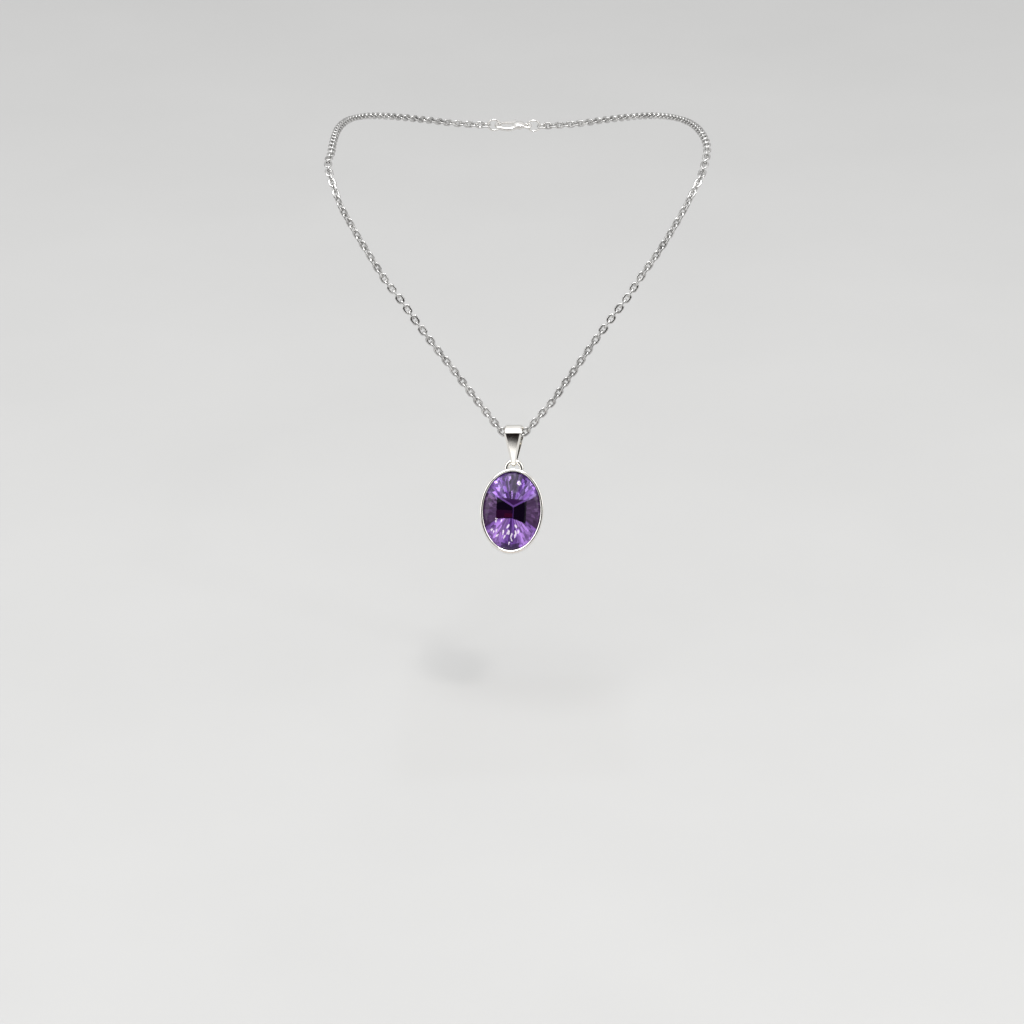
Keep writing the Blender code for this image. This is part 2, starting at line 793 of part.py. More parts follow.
def spring_mesh():
    """A short bent strip in the barrel's slot that pushes the lever shut, about the pin's axis."""
    thickness, width = 0.10 * MM, 0.50 * MM
    line = [(-1.02, 0.30), (-0.98, 0.05), (-0.86, -0.20), (-0.66, -0.40)]
    sections = []
    for i, (x, y) in enumerate(line):
        before, after = line[max(i - 1, 0)], line[min(i + 1, len(line) - 1)]
        ahead = Vector((after[0] - before[0], after[1] - before[1], 0)).normalized()
        normal = Vector((-ahead.y, ahead.x, 0)) * (thickness / 2)
        centre = Vector((x * MM, y * MM, 0))
        rise = Vector((0, 0, width / 2))
        sections.append(
            [centre - normal - rise, centre + normal - rise, centre + normal + rise, centre - normal + rise]
        )
    return mesh_of("lever_spring", swept_bar(sections), 30)


def build():
    clear_scene()
    line = ChainLine(CHAIN_ROUTE, BOTTOM_POINT)
    shared_link = add_chain(line)
    add_pendant(line)
    add_clasp(line, shared_link)
    return line


chain_line = build()
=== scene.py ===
"""The looks of a pendant necklace.

A cable chain of real links carries a tapered bail and an oval stone in a bezel.

Units are metres. +X is to the right as seen from the front, -Y is the front and +Z is up.
The origin is the centre of the neck, level with the crests of the shoulders that the chain lies on.
"""

import math
import random

import bmesh
import bpy
import numpy as np
from mathutils import Matrix, Vector


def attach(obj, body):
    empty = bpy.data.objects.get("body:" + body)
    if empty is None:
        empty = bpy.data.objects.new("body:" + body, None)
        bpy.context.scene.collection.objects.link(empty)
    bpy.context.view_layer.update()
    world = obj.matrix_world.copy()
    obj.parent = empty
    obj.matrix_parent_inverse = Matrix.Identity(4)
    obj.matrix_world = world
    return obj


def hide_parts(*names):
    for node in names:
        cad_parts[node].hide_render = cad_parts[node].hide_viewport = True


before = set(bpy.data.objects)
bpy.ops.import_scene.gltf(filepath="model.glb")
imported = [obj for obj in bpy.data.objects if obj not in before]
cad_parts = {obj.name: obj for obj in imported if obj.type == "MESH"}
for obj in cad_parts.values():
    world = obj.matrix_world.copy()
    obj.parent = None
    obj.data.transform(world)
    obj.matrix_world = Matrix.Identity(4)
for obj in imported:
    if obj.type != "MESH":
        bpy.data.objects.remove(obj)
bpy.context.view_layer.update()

MM = 0.001

# ---------------------------------------------------------------- sizes

WIRE = 0.48 * MM
LINK_LENGTH = 2.46 * MM
LINK_WIDTH = 1.75 * MM
PITCH = 1.42 * MM
LINK_ROLL = math.radians(22)
MIDDLE_LINK = 25
SHOULDER_LINK = 54
END_LINK = 127
HINGE_ROLLS = {MIDDLE_LINK + 1: 0.0, SHOULDER_LINK: math.pi / 2}
ROLL_BLEND_LINKS = 9
# The chain's outward side turns this much sideways, and this far to the front and up.
FACE_SPREAD = 0.6
FACE_FORWARD = 22 * MM
FACE_RISE = 30 * MM
TANGENT_STEP = 0.2 * MM

BAIL_TOP_RADIUS = 1.80 * MM
BAIL_FOOT_RADIUS = 0.75 * MM
BAIL_DROP = 5.75 * MM
BAIL_SHEET = 0.30 * MM
BAIL_TOP_WIDTH = 4.0 * MM
BAIL_FOOT_WIDTH = 1.1 * MM
BAIL_CROWN = 0.12 * MM
BAIL_RISE = 0.50 * MM
BAIL_TURN = math.radians(-8)
BAIL_TAPER_START = 0.3 * MM
BAIL_TAPER_OVERRUN = 0.6 * MM

PENDANT_LEAN = math.radians(-27)
PENDANT_TILT = math.radians(3)
LOOP_RADIUS = 1.65 * MM
LOOP_WIRE = 1.0 * MM
LOOP_FOOT_DEPTH = 0.20 * MM
BEZEL_HALF_WIDTH = 6.95 * MM
BEZEL_HALF_HEIGHT = 9.30 * MM
BEZEL_GAP_TO_LOOP = 0.15 * MM
BEZEL_FRONT = -2.4 * MM
BEZEL_BACK = 3.0 * MM
BEZEL_WALL = 0.40 * MM
BEZEL_LIP = 0.65 * MM
BEZEL_FLANGE = 0.90 * MM
SEAT_GAP = 0.05 * MM
SEAT_WIDTH = 0.55 * MM
SEAT_FRONT = -0.90 * MM
SEAT_SLOPE_END = -0.38 * MM
SEAT_INNER_EDGE = -0.33 * MM
SEAT_BACK = 0.45 * MM
SEAT_SOFTNESS = 0.05 * MM
STONE_HALF_WIDTH = 6.50 * MM
STONE_HALF_HEIGHT = 8.85 * MM
GIRDLE_FRONT = -1.60 * MM
GIRDLE_BACK = -1.30 * MM
STONE_FRONT = -3.80 * MM
STONE_BACK = 2.60 * MM
BEZEL_CENTRE = -(BEZEL_HALF_HEIGHT + BEZEL_GAP_TO_LOOP)

RING_RADIUS = 1.525 * MM
RING_WIRE = 0.50 * MM
RING_PLAY = 0.03 * MM
EYE_RADIUS = 0.80 * MM
EYE_WIRE = 0.56 * MM
PIVOT = (2.6 * MM, -0.75 * MM)
CATCH_RING_CENTRE = 8.0 * MM
CLASP_FACING = (0, -0.3, 1.0)
PIN_RADIUS = 0.22 * MM
PIN_LENGTH = 1.40 * MM
PIN_PLAY = 0.05 * MM
SLOT_WIDTH = 0.80 * MM
LEVER_THICKNESS = 0.60 * MM

# The line of the chain, in millimetres, from the clasp end on the right,
# over the right shoulder, down the V, up again and back to the clasp end on the left.
CHAIN_ROUTE = [
    (2.0, 84.6, -20.5),
    (8.0, 84.6, -20.5),
    (14.5, 82.6, -19.4),
    (21.5, 77.1, -16.6),
    (28.0, 68.0, -12.8),
    (33.5, 55.9, -8.6),
    (37.8, 41.7, -4.6),
    (40.7, 26.6, -1.2),
    (42.3, 12.5, 0.9),
    (42.8, 3.5, 1.2),
    (42.5, -0.5, 0.5),
    (41.8, -4.2, -0.8),
    (41.0, -7.0, -2.2),
    (39.5, -9.3, -4.4),
    (37.7, -11.1, -7.5),
    (34.2, -13.2, -13.2),
    (31.2, -14.8, -17.6),
    (28.1, -16.3, -21.7),
    (24.8, -18.0, -26.4),
    (21.3, -19.6, -30.7),
    (17.8, -21.2, -35.2),
    (14.1, -23.0, -40.2),
    (11.2, -24.4, -44.0),
    (8.4, -25.8, -47.8),
    (6.3, -26.6, -50.1),
    (4.3, -27.4, -52.3),
    (2.2, -28.1, -54.3),
    (0.0, -28.5, -55.1),
    (-2.2, -28.1, -54.3),
    (-4.2, -27.4, -52.2),
    (-7.2, -26.1, -48.7),
    (-10.8, -24.5, -44.3),
    (-14.1, -23.1, -40.3),
    (-17.8, -21.5, -35.9),
    (-21.3, -19.9, -31.5),
    (-24.8, -18.2, -26.9),
    (-28.2, -16.7, -22.8),
    (-31.0, -15.2, -18.7),
    (-33.7, -13.7, -14.6),
    (-36.0, -12.4, -10.9),
    (-38.0, -11.1, -7.5),
    (-39.5, -8.9, -4.0),
    (-40.7, -5.6, -1.4),
    (-41.0, -2.0, -0.2),
    (-40.6, 2.5, -0.1),
    (-40.4, 12.5, -0.4),
    (-39.8, 26.6, -2.0),
    (-38.0, 42.0, -5.0),
    (-34.4, 56.3, -8.8),
    (-28.8, 68.5, -12.9),
    (-21.5, 77.7, -16.7),
    (-14.5, 83.3, -19.4),
    (-8.0, 85.3, -20.5),
    (-2.0, 85.3, -20.5),
]
BOTTOM_POINT = 27
CURVE_STEPS = 24


# ---------------------------------------------------------------- lines and sweeps


def ring_strip(builder, first, second):
    """Bridges two closed loops of vertices that have the same number of points."""
    count = len(first)
    for i in range(count):
        j = (i + 1) % count
        builder.faces.new((first[i], first[j], second[j], second[i]))


def swept_loop(sections):
    """A closed tube through closed cross-sections, each a list of points."""
    builder = bmesh.new()
    loops = [[builder.verts.new(p) for p in section] for section in sections]
    for i, loop in enumerate(loops):
        ring_strip(builder, loop, loops[(i + 1) % len(loops)])
    return builder


def swept_bar(sections):
    """A bar through closed cross-sections, with a flat cap at each end."""
    builder = bmesh.new()
    loops = [[builder.verts.new(p) for p in section] for section in sections]
    for first, second in zip(loops, loops[1:]):
        ring_strip(builder, first, second)
    builder.faces.new(list(reversed(loops[0])))
    builder.faces.new(loops[-1])
    return builder


def wire_sections(line, outward, radius, sides):
    """Round sections along a flat line in the XY plane, with its in-plane normals given."""
    sections = []
    for point, normal in zip(line, outward):
        section = []
        for k in range(sides):
            angle = math.tau * k / sides
            across = normal * (radius * math.cos(angle))
            section.append(point + across + Vector((0, 0, radius * math.sin(angle))))
        sections.append(section)
    return sections


def centripetal_point(p0, p1, p2, p3, share):
    """A point between p1 and p2 on the centripetal Catmull-Rom curve through four points."""
    t0 = 0.0
    t1 = t0 + math.sqrt(np.linalg.norm(p1 - p0))
    t2 = t1 + math.sqrt(np.linalg.norm(p2 - p1))
    t3 = t2 + math.sqrt(np.linalg.norm(p3 - p2))
    t = t1 + (t2 - t1) * share
    a1 = (t1 - t) / (t1 - t0) * p0 + (t - t0) / (t1 - t0) * p1
    a2 = (t2 - t) / (t2 - t1) * p1 + (t - t1) / (t2 - t1) * p2
    a3 = (t3 - t) / (t3 - t2) * p2 + (t - t2) / (t3 - t2) * p3
    b1 = (t2 - t) / (t2 - t0) * a1 + (t - t0) / (t2 - t0) * a2
    b2 = (t3 - t) / (t3 - t1) * a2 + (t - t1) / (t3 - t1) * a3
    return (t2 - t) / (t2 - t1) * b1 + (t - t1) / (t2 - t1) * b2


class ChainLine:
    """The smooth line of the chain, measured in metres from the bottom of the V.

    Positions are positive on the right side (+X) and negative on the left side.
    """

    def __init__(self, route, bottom):
        knots = [np.array(p, float) * MM for p in route]
        ends = [2 * knots[0] - knots[1]], [2 * knots[-1] - knots[-2]]
        knots = ends[0] + knots + ends[1]
        points = []
        for i in range(1, len(knots) - 2):
            for k in range(CURVE_STEPS):
                share = k / CURVE_STEPS
                points.append(centripetal_point(*knots[i - 1 : i + 3], share))
        points.append(knots[-2])
        self.points = np.array(points)
        steps = np.linalg.norm(np.diff(self.points, axis=0), axis=1)
        run = np.concatenate([[0.0], np.cumsum(steps)])
        self.at = run[bottom * CURVE_STEPS] - run

    def point(self, s):
        return Vector([np.interp(-s, -self.at, self.points[:, k]) for k in range(3)])

    def tangent(self, s):
        """The unit direction from the left end towards the right end."""
        return (self.point(s + TANGENT_STEP) - self.point(s - TANGENT_STEP)).normalized()

    def face_normal(self, s):
        """The chain's outward normal, square to its line: away from the neck and the chest."""
        here = self.point(s)
        away = Vector((here.x * FACE_SPREAD, here.y - FACE_FORWARD, FACE_RISE)).normalized()
        along = self.tangent(s)
        return (away - along * away.dot(along)).normalized()

    def link_frame(self, number):
        """The place of link number 0, 1, -1 and so on: its X runs along the chain.

        Neighbours are a quarter turn apart. Where the front swings, the wire that it
        hangs on lies as near to the swing axis as the chain's direction lets it.
        """
        s = number * PITCH
        along = self.tangent(s)
        normal = self.face_normal(s)
        side = normal.cross(along)
        roll = LINK_ROLL
        for hinge, hinge_roll in HINGE_ROLLS.items():
            apart = abs(abs(number) - hinge)
            if apart < ROLL_BLEND_LINKS:
                share = 1 - max(0, apart - 1) / ROLL_BLEND_LINKS
                wanted = math.atan2(normal.x, side.x) + hinge_roll
                turn = (wanted - LINK_ROLL + math.pi / 2) % math.pi - math.pi / 2
                roll += turn * share * share * (3 - 2 * share)
        if number % 2:
            roll += math.pi / 2
        flat = side * math.cos(roll) + normal * math.sin(roll)
        up = along.cross(flat)
        turn = Matrix((along, flat, up)).transposed().to_4x4()
        return Matrix.Translation(self.point(s)) @ turn


def straight_points(start, end, count):
    """Points between start and end, without the two ends."""
    made = []
    for k in range(1, count):
        share = k / count
        made.append(tuple(a + (b - a) * share for a, b in zip(start, end)))
    return made


def bail_width(height):
    """Half the band's width at this height: wide over the chain, narrow at the foot."""
    share = (BAIL_TAPER_START - height) / (BAIL_DROP + BAIL_TAPER_OVERRUN)
    share = min(1.0, max(0.0, share))
    return (BAIL_TOP_WIDTH + (BAIL_FOOT_WIDTH - BAIL_TOP_WIDTH) * share) / 2


def bail_place(line):
    """The centre of the bail's round top, which turns about the lowest link."""
    centre = line.point(0.0) + Vector((0, 0, BAIL_RISE))
    lean = Matrix.Rotation(PENDANT_LEAN, 4, "X")
    return Matrix.Translation(centre) @ lean @ Matrix.Rotation(BAIL_TURN, 4, "Z")


def pendant_place(line):
    top = bail_place(line).translation
    lean = Matrix.Rotation(PENDANT_LEAN, 4, "X")
    drop = lean @ Vector((0, 0, -(BAIL_DROP + LOOP_RADIUS)))
    return Matrix.Translation(top + drop) @ lean @ Matrix.Rotation(PENDANT_TILT, 4, "Y")


def end_ring_offset():
    """How far a ring's centre lies past the centre of the chain's end link."""
    inside = (LINK_LENGTH / 2 - WIRE) - RING_WIRE / 2 - RING_PLAY
    return inside + RING_RADIUS


def clasp_place(line):
    """The clasp's frame: X runs from the right end of the chain to its left end."""
    right = line.link_frame(END_LINK).translation
    left = line.link_frame(-END_LINK).translation
    along = (left - right).normalized()
    eye = (right + left) / 2 + along * (end_ring_offset() + RING_RADIUS - clasp_span() / 2)
    thickness = Vector(CLASP_FACING)
    thickness = (thickness - along * thickness.dot(along)).normalized()
    across = thickness.cross(along)
    turn = Matrix((along, across, thickness)).transposed().to_4x4()
    return Matrix.Translation(eye) @ turn


def clasp_span():
    """The distance between the chain's two end links that the clasp and its rings fill."""
    return 2 * end_ring_offset() + RING_RADIUS + CATCH_RING_CENTRE


# ---------------------------------------------------------------- materials

# A Mix node's sockets for colours, which share their names with its other sockets.
MIX_FIRST_COLOUR = 6
MIX_SECOND_COLOUR = 7
MIX_COLOUR_RESULT = 2

MM_PER_METRE = 1000.0
STEEL_DARK = (0.42, 0.42, 0.43)
STEEL_LIGHT = (0.60, 0.60, 0.61)
VEIL_TINT = (0.62, 0.46, 0.85)
VEIL_SHARE = 0.30
FLOOR_DARK = (0.435, 0.435, 0.432)
FLOOR_LIGHT = (0.455, 0.455, 0.452)


class Nodes:
    """Short calls for building a node tree."""

    def __init__(self, name):
        self.material = bpy.data.materials.new(name)
        self.material.use_nodes = True
        self.tree = self.material.node_tree
        self.shader = self.tree.nodes["Principled BSDF"]

    def add(self, kind, **settings):
        node = self.tree.nodes.new(kind)
        for key, value in settings.items():
            setattr(node, key, value)
        return node

    def link(self, source, target):
        self.tree.links.new(source, target)

    def put(self, node, name, value):
        """Sets a socket to a number, a colour or another node's output."""
        if isinstance(value, bpy.types.NodeSocket):
            self.link(value, node.inputs[name])
        else:
            node.inputs[name].default_value = value

    def math(self, operation, first, second):
        node = self.add("ShaderNodeMath", operation=operation)
        self.put(node, 0, first)
        self.put(node, 1, second)
        return node.outputs[0]

    def position(self, scale=1.0):
        """Object coordinates, in metres times scale."""
        coordinates = self.add("ShaderNodeTexCoord")
        mapping = self.add("ShaderNodeMapping")
        self.link(coordinates.outputs["Object"], mapping.inputs["Vector"])
        mapping.inputs["Scale"].default_value = (scale, scale, scale)
        return mapping.outputs["Vector"]

    def noise(self, vector, scale, detail, stretch=None):
        if stretch is not None:
            mapping = self.add("ShaderNodeMapping")
            self.link(vector, mapping.inputs["Vector"])
            mapping.inputs["Scale"].default_value = stretch
            vector = mapping.outputs["Vector"]
        node = self.add("ShaderNodeTexNoise")
        self.link(vector, node.inputs["Vector"])
        node.inputs["Scale"].default_value = scale
        node.inputs["Detail"].default_value = detail
        return node.outputs["Fac"]

    def ramp(self, factor, low, high):
        """A colour between two stops, each a place and a colour."""
        node = self.add("ShaderNodeValToRGB")
        self.link(factor, node.inputs["Fac"])
        for element, (place, colour) in zip(node.color_ramp.elements, (low, high)):
            element.position, element.color = place, (*colour, 1.0)
        return node.outputs["Color"]

    def span(self, factor, low, high):
        node = self.add("ShaderNodeMapRange")
        self.put(node, "Value", factor)
        node.inputs["To Min"].default_value = low
        node.inputs["To Max"].default_value = high
        return node.outputs["Result"]

    def multiplied(self, factor, colour, tint):
        """A colour output multiplied by a fixed tint, by this much."""
        node = self.add("ShaderNodeMix", data_type="RGBA", blend_type="MULTIPLY")
        self.put(node, "Factor", factor)
        self.link(colour, node.inputs[MIX_FIRST_COLOUR])
        node.inputs[MIX_SECOND_COLOUR].default_value = (*tint, 1.0)
        return node.outputs[MIX_COLOUR_RESULT]


def polished_silver(name, light, dark, roughness, grain):
    """Polished silver with faint cloudiness, fine wiping scratches and a little tarnish."""
    n = Nodes(name)
    place = n.position(MM_PER_METRE)
    cloud = n.noise(place, 0.35, 3.0)
    scratch = n.noise(place, grain, 6.0, (1.0, 1.0, 9.0))
    colour = n.ramp(cloud, (0.30, dark), (0.62, light))
    n.link(colour, n.shader.inputs["Base Color"])
    n.shader.inputs["Metallic"].default_value = 1.0
    rough = n.math("MULTIPLY", n.span(scratch, 0.7, 1.5), n.span(cloud, 1.15, 0.9))
    n.link(n.math("MULTIPLY", rough, roughness), n.shader.inputs["Roughness"])
    bump = n.add("ShaderNodeBump")
    bump.inputs["Strength"].default_value = 0.05
    bump.inputs["Distance"].default_value = 0.02 * MM
    n.link(scratch, bump.inputs["Height"])
    n.link(bump.outputs["Normal"], n.shader.inputs["Normal"])
    return n.material


def spring_steel(name):
    n = Nodes(name)
    place = n.position(MM_PER_METRE)
    brushed = n.noise(place, 4.0, 5.0, (8.0, 1.0, 1.0))
    colour = n.ramp(brushed, (0.3, STEEL_DARK), (0.7, STEEL_LIGHT))
    n.link(colour, n.shader.inputs["Base Color"])
    n.shader.inputs["Metallic"].default_value = 1.0
    n.link(n.span(brushed, 0.25, 0.42), n.shader.inputs["Roughness"])
    return n.material


def amethyst(name):
    """Purple quartz: the facets' colours, with painted light and shade in them, lie under a clear,
    polished dome.
    """
    n = Nodes(name)
    attribute = n.add("ShaderNodeAttribute", attribute_name="facet_colour_and_painted_light")
    place = n.position(MM_PER_METRE)
    veil = n.noise(place, 0.5, 4.0)
    shade = n.multiplied(n.span(veil, 0.0, VEIL_SHARE), attribute.outputs["Color"], VEIL_TINT)
    n.link(shade, n.shader.inputs["Base Color"])
    tilt = n.add("ShaderNodeAttribute", attribute_name="facet_normal")
    turn = n.add("ShaderNodeVectorTransform", vector_type="NORMAL")
    turn.convert_from = "OBJECT"
    turn.convert_to = "WORLD"
    n.link(tilt.outputs["Vector"], turn.inputs["Vector"])
    n.link(turn.outputs["Vector"], n.shader.inputs["Normal"])
    n.shader.inputs["Metallic"].default_value = 0.35
    n.shader.inputs["Roughness"].default_value = 0.16
    n.shader.inputs["Specular IOR Level"].default_value = 0.15
    n.shader.inputs["Coat Weight"].default_value = 0.35
    n.shader.inputs["Coat Roughness"].default_value = 0.02
    n.shader.inputs["Coat IOR"].default_value = 1.54
    return n.material


def pale_floor(name):
    n = Nodes(name)
    place = n.position(1.0)
    mottle = n.noise(place, 14.0, 3.0)
    n.link(n.ramp(mottle, (0.2, FLOOR_DARK), (0.8, FLOOR_LIGHT)), n.shader.inputs["Base Color"])
    n.shader.inputs["Roughness"].default_value = 0.8
    return n.material


CHAIN_SILVER = polished_silver("chain_silver", (0.66, 0.655, 0.645), (0.42, 0.415, 0.41), 0.12, 0.9)
PENDANT_SILVER = polished_silver("pendant_silver", (0.93, 0.91, 0.87), (0.88, 0.85, 0.80), 0.07, 1.6)
CLASP_SILVER = polished_silver("clasp_silver", (0.84, 0.83, 0.81), (0.70, 0.68, 0.66), 0.13, 1.2)
STEEL = spring_steel("spring_steel")


# ---------------------------------------------------------------- mesh helpers


def mesh_of(name, builder, smooth_angle=40):
    bmesh.ops.recalc_face_normals(builder, faces=builder.faces)
    made = bpy.data.meshes.new(name)
    builder.to_mesh(made)
    builder.free()
    made.shade_smooth()
    made.set_sharp_from_angle(angle=math.radians(smooth_angle))
    return made


def piece(name, mesh, finish, body, stands_for, place=None):
    """A visible piece that rides on a CAD body in place of a CAD node."""
    made = bpy.data.objects.new(name, mesh)
    bpy.context.scene.collection.objects.link(made)
    if place is not None:
        made.matrix_world = place
    mesh.materials.clear()
    mesh.materials.append(finish)
    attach(made, body)
    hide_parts(stands_for)
    return made


def torus_mesh(name, radius, wire, steps, sides):
    line, outward = [], []
    for k in range(steps):
        angle = math.tau * k / steps
        normal = Vector((math.cos(angle), math.sin(angle), 0))
        line.append(normal * radius)
        outward.append(normal)
    return mesh_of(name, swept_loop(wire_sections(line, outward, wire / 2, sides)))


# ---------------------------------------------------------------- chain

LINK_BEND_STEPS = 10
LINK_SIDES = 12
LINK_BROADENING = 1.18
LINK_FLAT = 0.195 * MM


def link_sections():
    """A flat oval link: round wire along two half circles and two straight sides."""
    bend = (LINK_WIDTH - WIRE) / 2
    straight = (LINK_LENGTH - LINK_WIDTH) / 2
    line, outward = [], []
    for side in (1, -1):
        for k in range(LINK_BEND_STEPS + 1):
            angle = -math.pi / 2 + math.pi * k / LINK_BEND_STEPS
            normal = Vector((side * math.cos(angle), side * math.sin(angle), 0))
            line.append(Vector((side * straight, 0, 0)) + normal * bend)
            outward.append(normal)
    sections = wire_sections(line, outward, WIRE / 2, LINK_SIDES)
    for point, section in zip(line, sections):
        ends = abs(point.x) / (LINK_LENGTH / 2)
        broad = 1.0 + (LINK_BROADENING - 1.0) * (1.0 - ends * ends)
        for k, corner in enumerate(section):
            offset = corner - point
            flat = max(-LINK_FLAT, min(LINK_FLAT, offset.z))
            section[k] = point + Vector((offset.x * broad, offset.y * broad, flat))
    return sections


def link_mesh(name):
    return mesh_of(name, swept_loop(link_sections()))


def chain_mesh(name, line, numbers):
    """All the links of one run as a single mesh."""
    sections = link_sections()
    builder = bmesh.new()
    for number in numbers:
        place = line.link_frame(number)
        loops = [[builder.verts.new(place @ p) for p in section] for section in sections]
        for i, loop in enumerate(loops):
            ring_strip(builder, loop, loops[(i + 1) % len(loops)])
    return mesh_of(name, builder)


def add_run(name, line, first, last, body):
    sign = 1 if last > 0 else -1
    numbers = range(first, last + sign, sign)
    links = piece(name, chain_mesh(name, line, numbers), CHAIN_SILVER, body, name)
    reach = LINK_LENGTH / 2
    start = first * PITCH - sign * reach
    end = last * PITCH + sign * reach
    count = math.ceil(abs(end - start) / (2 * MM)) + 1
    path = [line.point(start + (end - start) * i / (count - 1)) for i in range(count)]


def add_chain(line):
    def one(node, number, body):
        piece(node, link_mesh(node), CHAIN_SILVER, body, node, line.link_frame(number))

    for side, sign in (("right", 1), ("left", -1)):
        add_run(f"front_lower_chain_{side}", line, sign * 2, sign * (MIDDLE_LINK - 1), "front_lower")
        one(f"lower_swing_link_{side}", sign * MIDDLE_LINK, "front_lower")
        one(f"bail_link_{side}", sign, "front_lower")
        one(f"middle_link_{side}", sign * (MIDDLE_LINK + 1), "front_upper")
        first, last = sign * (MIDDLE_LINK + 2), sign * (SHOULDER_LINK - 1)
        add_run(f"front_upper_chain_{side}", line, first, last, "front_upper")
        one(f"upper_swing_link_{side}", sign * SHOULDER_LINK, "front_upper")
        one(f"shoulder_link_{side}", sign * (SHOULDER_LINK + 1), "back")
        first, last = sign * (SHOULDER_LINK + 2), sign * (END_LINK - 1)
        add_run(f"back_chain_{side}", line, first, last, "back")
    one("bail_link_centre", 0, "front_lower")


# ---------------------------------------------------------------- bail

BAIL_TOP_STEPS = 40
BAIL_FOOT_STEPS = 24
BAIL_SIDE_STEPS = 24
LEAF_BULGE = 0.05 * MM
EDGE_DROP = 0.14 * MM
EDGE_SOFTNESS = 0.06 * MM
BEVEL_WIDTH = 0.42 * MM
BEVEL_SHARE = 0.42
BEVEL_CROWN_SHARE = 0.95
BAIL_SMOOTH_ANGLE = 24


def bail_outline(offset):
    """Side view of the bail's band as (depth, height) points, offset outwards from its inside."""
    top = BAIL_TOP_RADIUS + offset
    foot = BAIL_FOOT_RADIUS + offset
    slope = math.asin((top - foot) / BAIL_DROP)
    points = []
    for k in range(BAIL_TOP_STEPS + 1):
        angle = -slope + (math.pi + 2 * slope) * k / BAIL_TOP_STEPS
        points.append((top * math.cos(angle), top * math.sin(angle)))
    foot_points = []
    for k in range(BAIL_FOOT_STEPS + 1):
        angle = math.pi + slope + (math.pi - 2 * slope) * k / BAIL_FOOT_STEPS
        foot_points.append((foot * math.cos(angle), foot * math.sin(angle) - BAIL_DROP))
    left = bulged(points[-1], foot_points[0])
    right = bulged(foot_points[-1], points[0])
    return points + left + foot_points + right


def bulged(start, end):
    """Points between start and end, on a very shallow arc that swells outwards."""
    made = []
    for i, (depth, height) in enumerate(straight_points(start, end, BAIL_SIDE_STEPS)):
        share = (i + 1) / BAIL_SIDE_STEPS
        swell = LEAF_BULGE * 4 * share * (1 - share)
        made.append((depth + math.copysign(swell, depth), height))
    return made


def bail_mesh():
    """The band has a flat face between bevelled edges, and soft corners inside."""
    inside = bail_outline(0.0)
    outside = bail_outline(BAIL_SHEET)
    sections = []
    for (depth_in, height_in), (depth_out, height_out) in zip(inside, outside):
        half = bail_width((height_in + height_out) / 2)
        away = Vector((0, depth_out - depth_in, height_out - height_in)).normalized()
        outer = Vector((0, depth_out, height_out))
        inner = Vector((0, depth_in, height_in))
        side = Vector((1, 0, 0))
        soft = EDGE_SOFTNESS
        bevel = min(BEVEL_WIDTH, half * BEVEL_SHARE)
        profile = []
        for sign in (-1, 1):
            edge = [
                (inner, half - soft, 0.0),
                (inner, half, soft),
                (outer, half, -EDGE_DROP - soft),
                (outer, half - soft, -EDGE_DROP),
                (outer, half - bevel, BAIL_CROWN * BEVEL_CROWN_SHARE),
                (outer, half - bevel - soft, BAIL_CROWN),
            ]
            edge = [base + side * (sign * x) + away * lift for base, x, lift in edge]
            profile += edge if sign < 0 else list(reversed(edge))
        sections.append(profile)
    return mesh_of("bail", swept_loop(sections), BAIL_SMOOTH_ANGLE)


# ---------------------------------------------------------------- pendant

OVAL_STEPS = 160
LOOP_BEND_STEPS = 40
LOOP_SIDES = 24
RIM_ROUNDING = 0.34 * MM


def oval_point(angle, half_width, half_height, inset, depth):
    edge = Vector((half_width * math.cos(angle), 0, half_height * math.sin(angle)))
    normal = Vector((math.cos(angle) / half_width, 0, math.sin(angle) / half_height)).normalized()
    return Vector((0, depth, BEZEL_CENTRE)) + edge - normal * inset


def oval_band(profile):
    """A closed band round the oval from a profile of (inset, depth) points."""
    sections = []
    for k in range(OVAL_STEPS):
        angle = math.tau * k / OVAL_STEPS
        section = []
        for inset, depth in profile:
            section.append(oval_point(angle, BEZEL_HALF_WIDTH, BEZEL_HALF_HEIGHT, inset, depth))
        sections.append(section)
    return swept_loop(sections)


def arc(centre_inset, centre_depth, radius, start, end, steps):
    """Profile points on an arc: angle 0 points inwards and 90 degrees points to the front."""
    points = []
    for k in range(steps + 1):
        angle = math.radians(start + (end - start) * k / steps)
        inset = centre_inset + radius * math.cos(angle)
        points.append((inset, centre_depth - radius * math.sin(angle)))
    return points


def bezel_wall_mesh():
    """A straight wall whose rim is rolled over the stone, with a small flange at the back."""
    round_over = RIM_ROUNDING
    profile = [(0.0, BEZEL_BACK - 0.08 * MM)]
    profile += arc(round_over, BEZEL_FRONT + round_over, round_over, 180, 80, 9)
    profile += [
        (BEZEL_LIP - 0.06 * MM, BEZEL_FRONT + 0.07 * MM),
        (BEZEL_LIP, BEZEL_FRONT + 0.17 * MM),
        (BEZEL_LIP - 0.03 * MM, BEZEL_FRONT + 0.40 * MM),
        (BEZEL_WALL, BEZEL_FRONT + 0.55 * MM),
        (BEZEL_WALL, BEZEL_BACK - 0.70 * MM),
        (BEZEL_FLANGE - 0.05 * MM, BEZEL_BACK - 0.45 * MM),
        (BEZEL_FLANGE, BEZEL_BACK - 0.38 * MM),
        (BEZEL_FLANGE, BEZEL_BACK - 0.06 * MM),
        (BEZEL_FLANGE - 0.06 * MM, BEZEL_BACK),
        (0.08 * MM, BEZEL_BACK),
    ]
    return mesh_of("bezel_wall", oval_band(profile), 50)


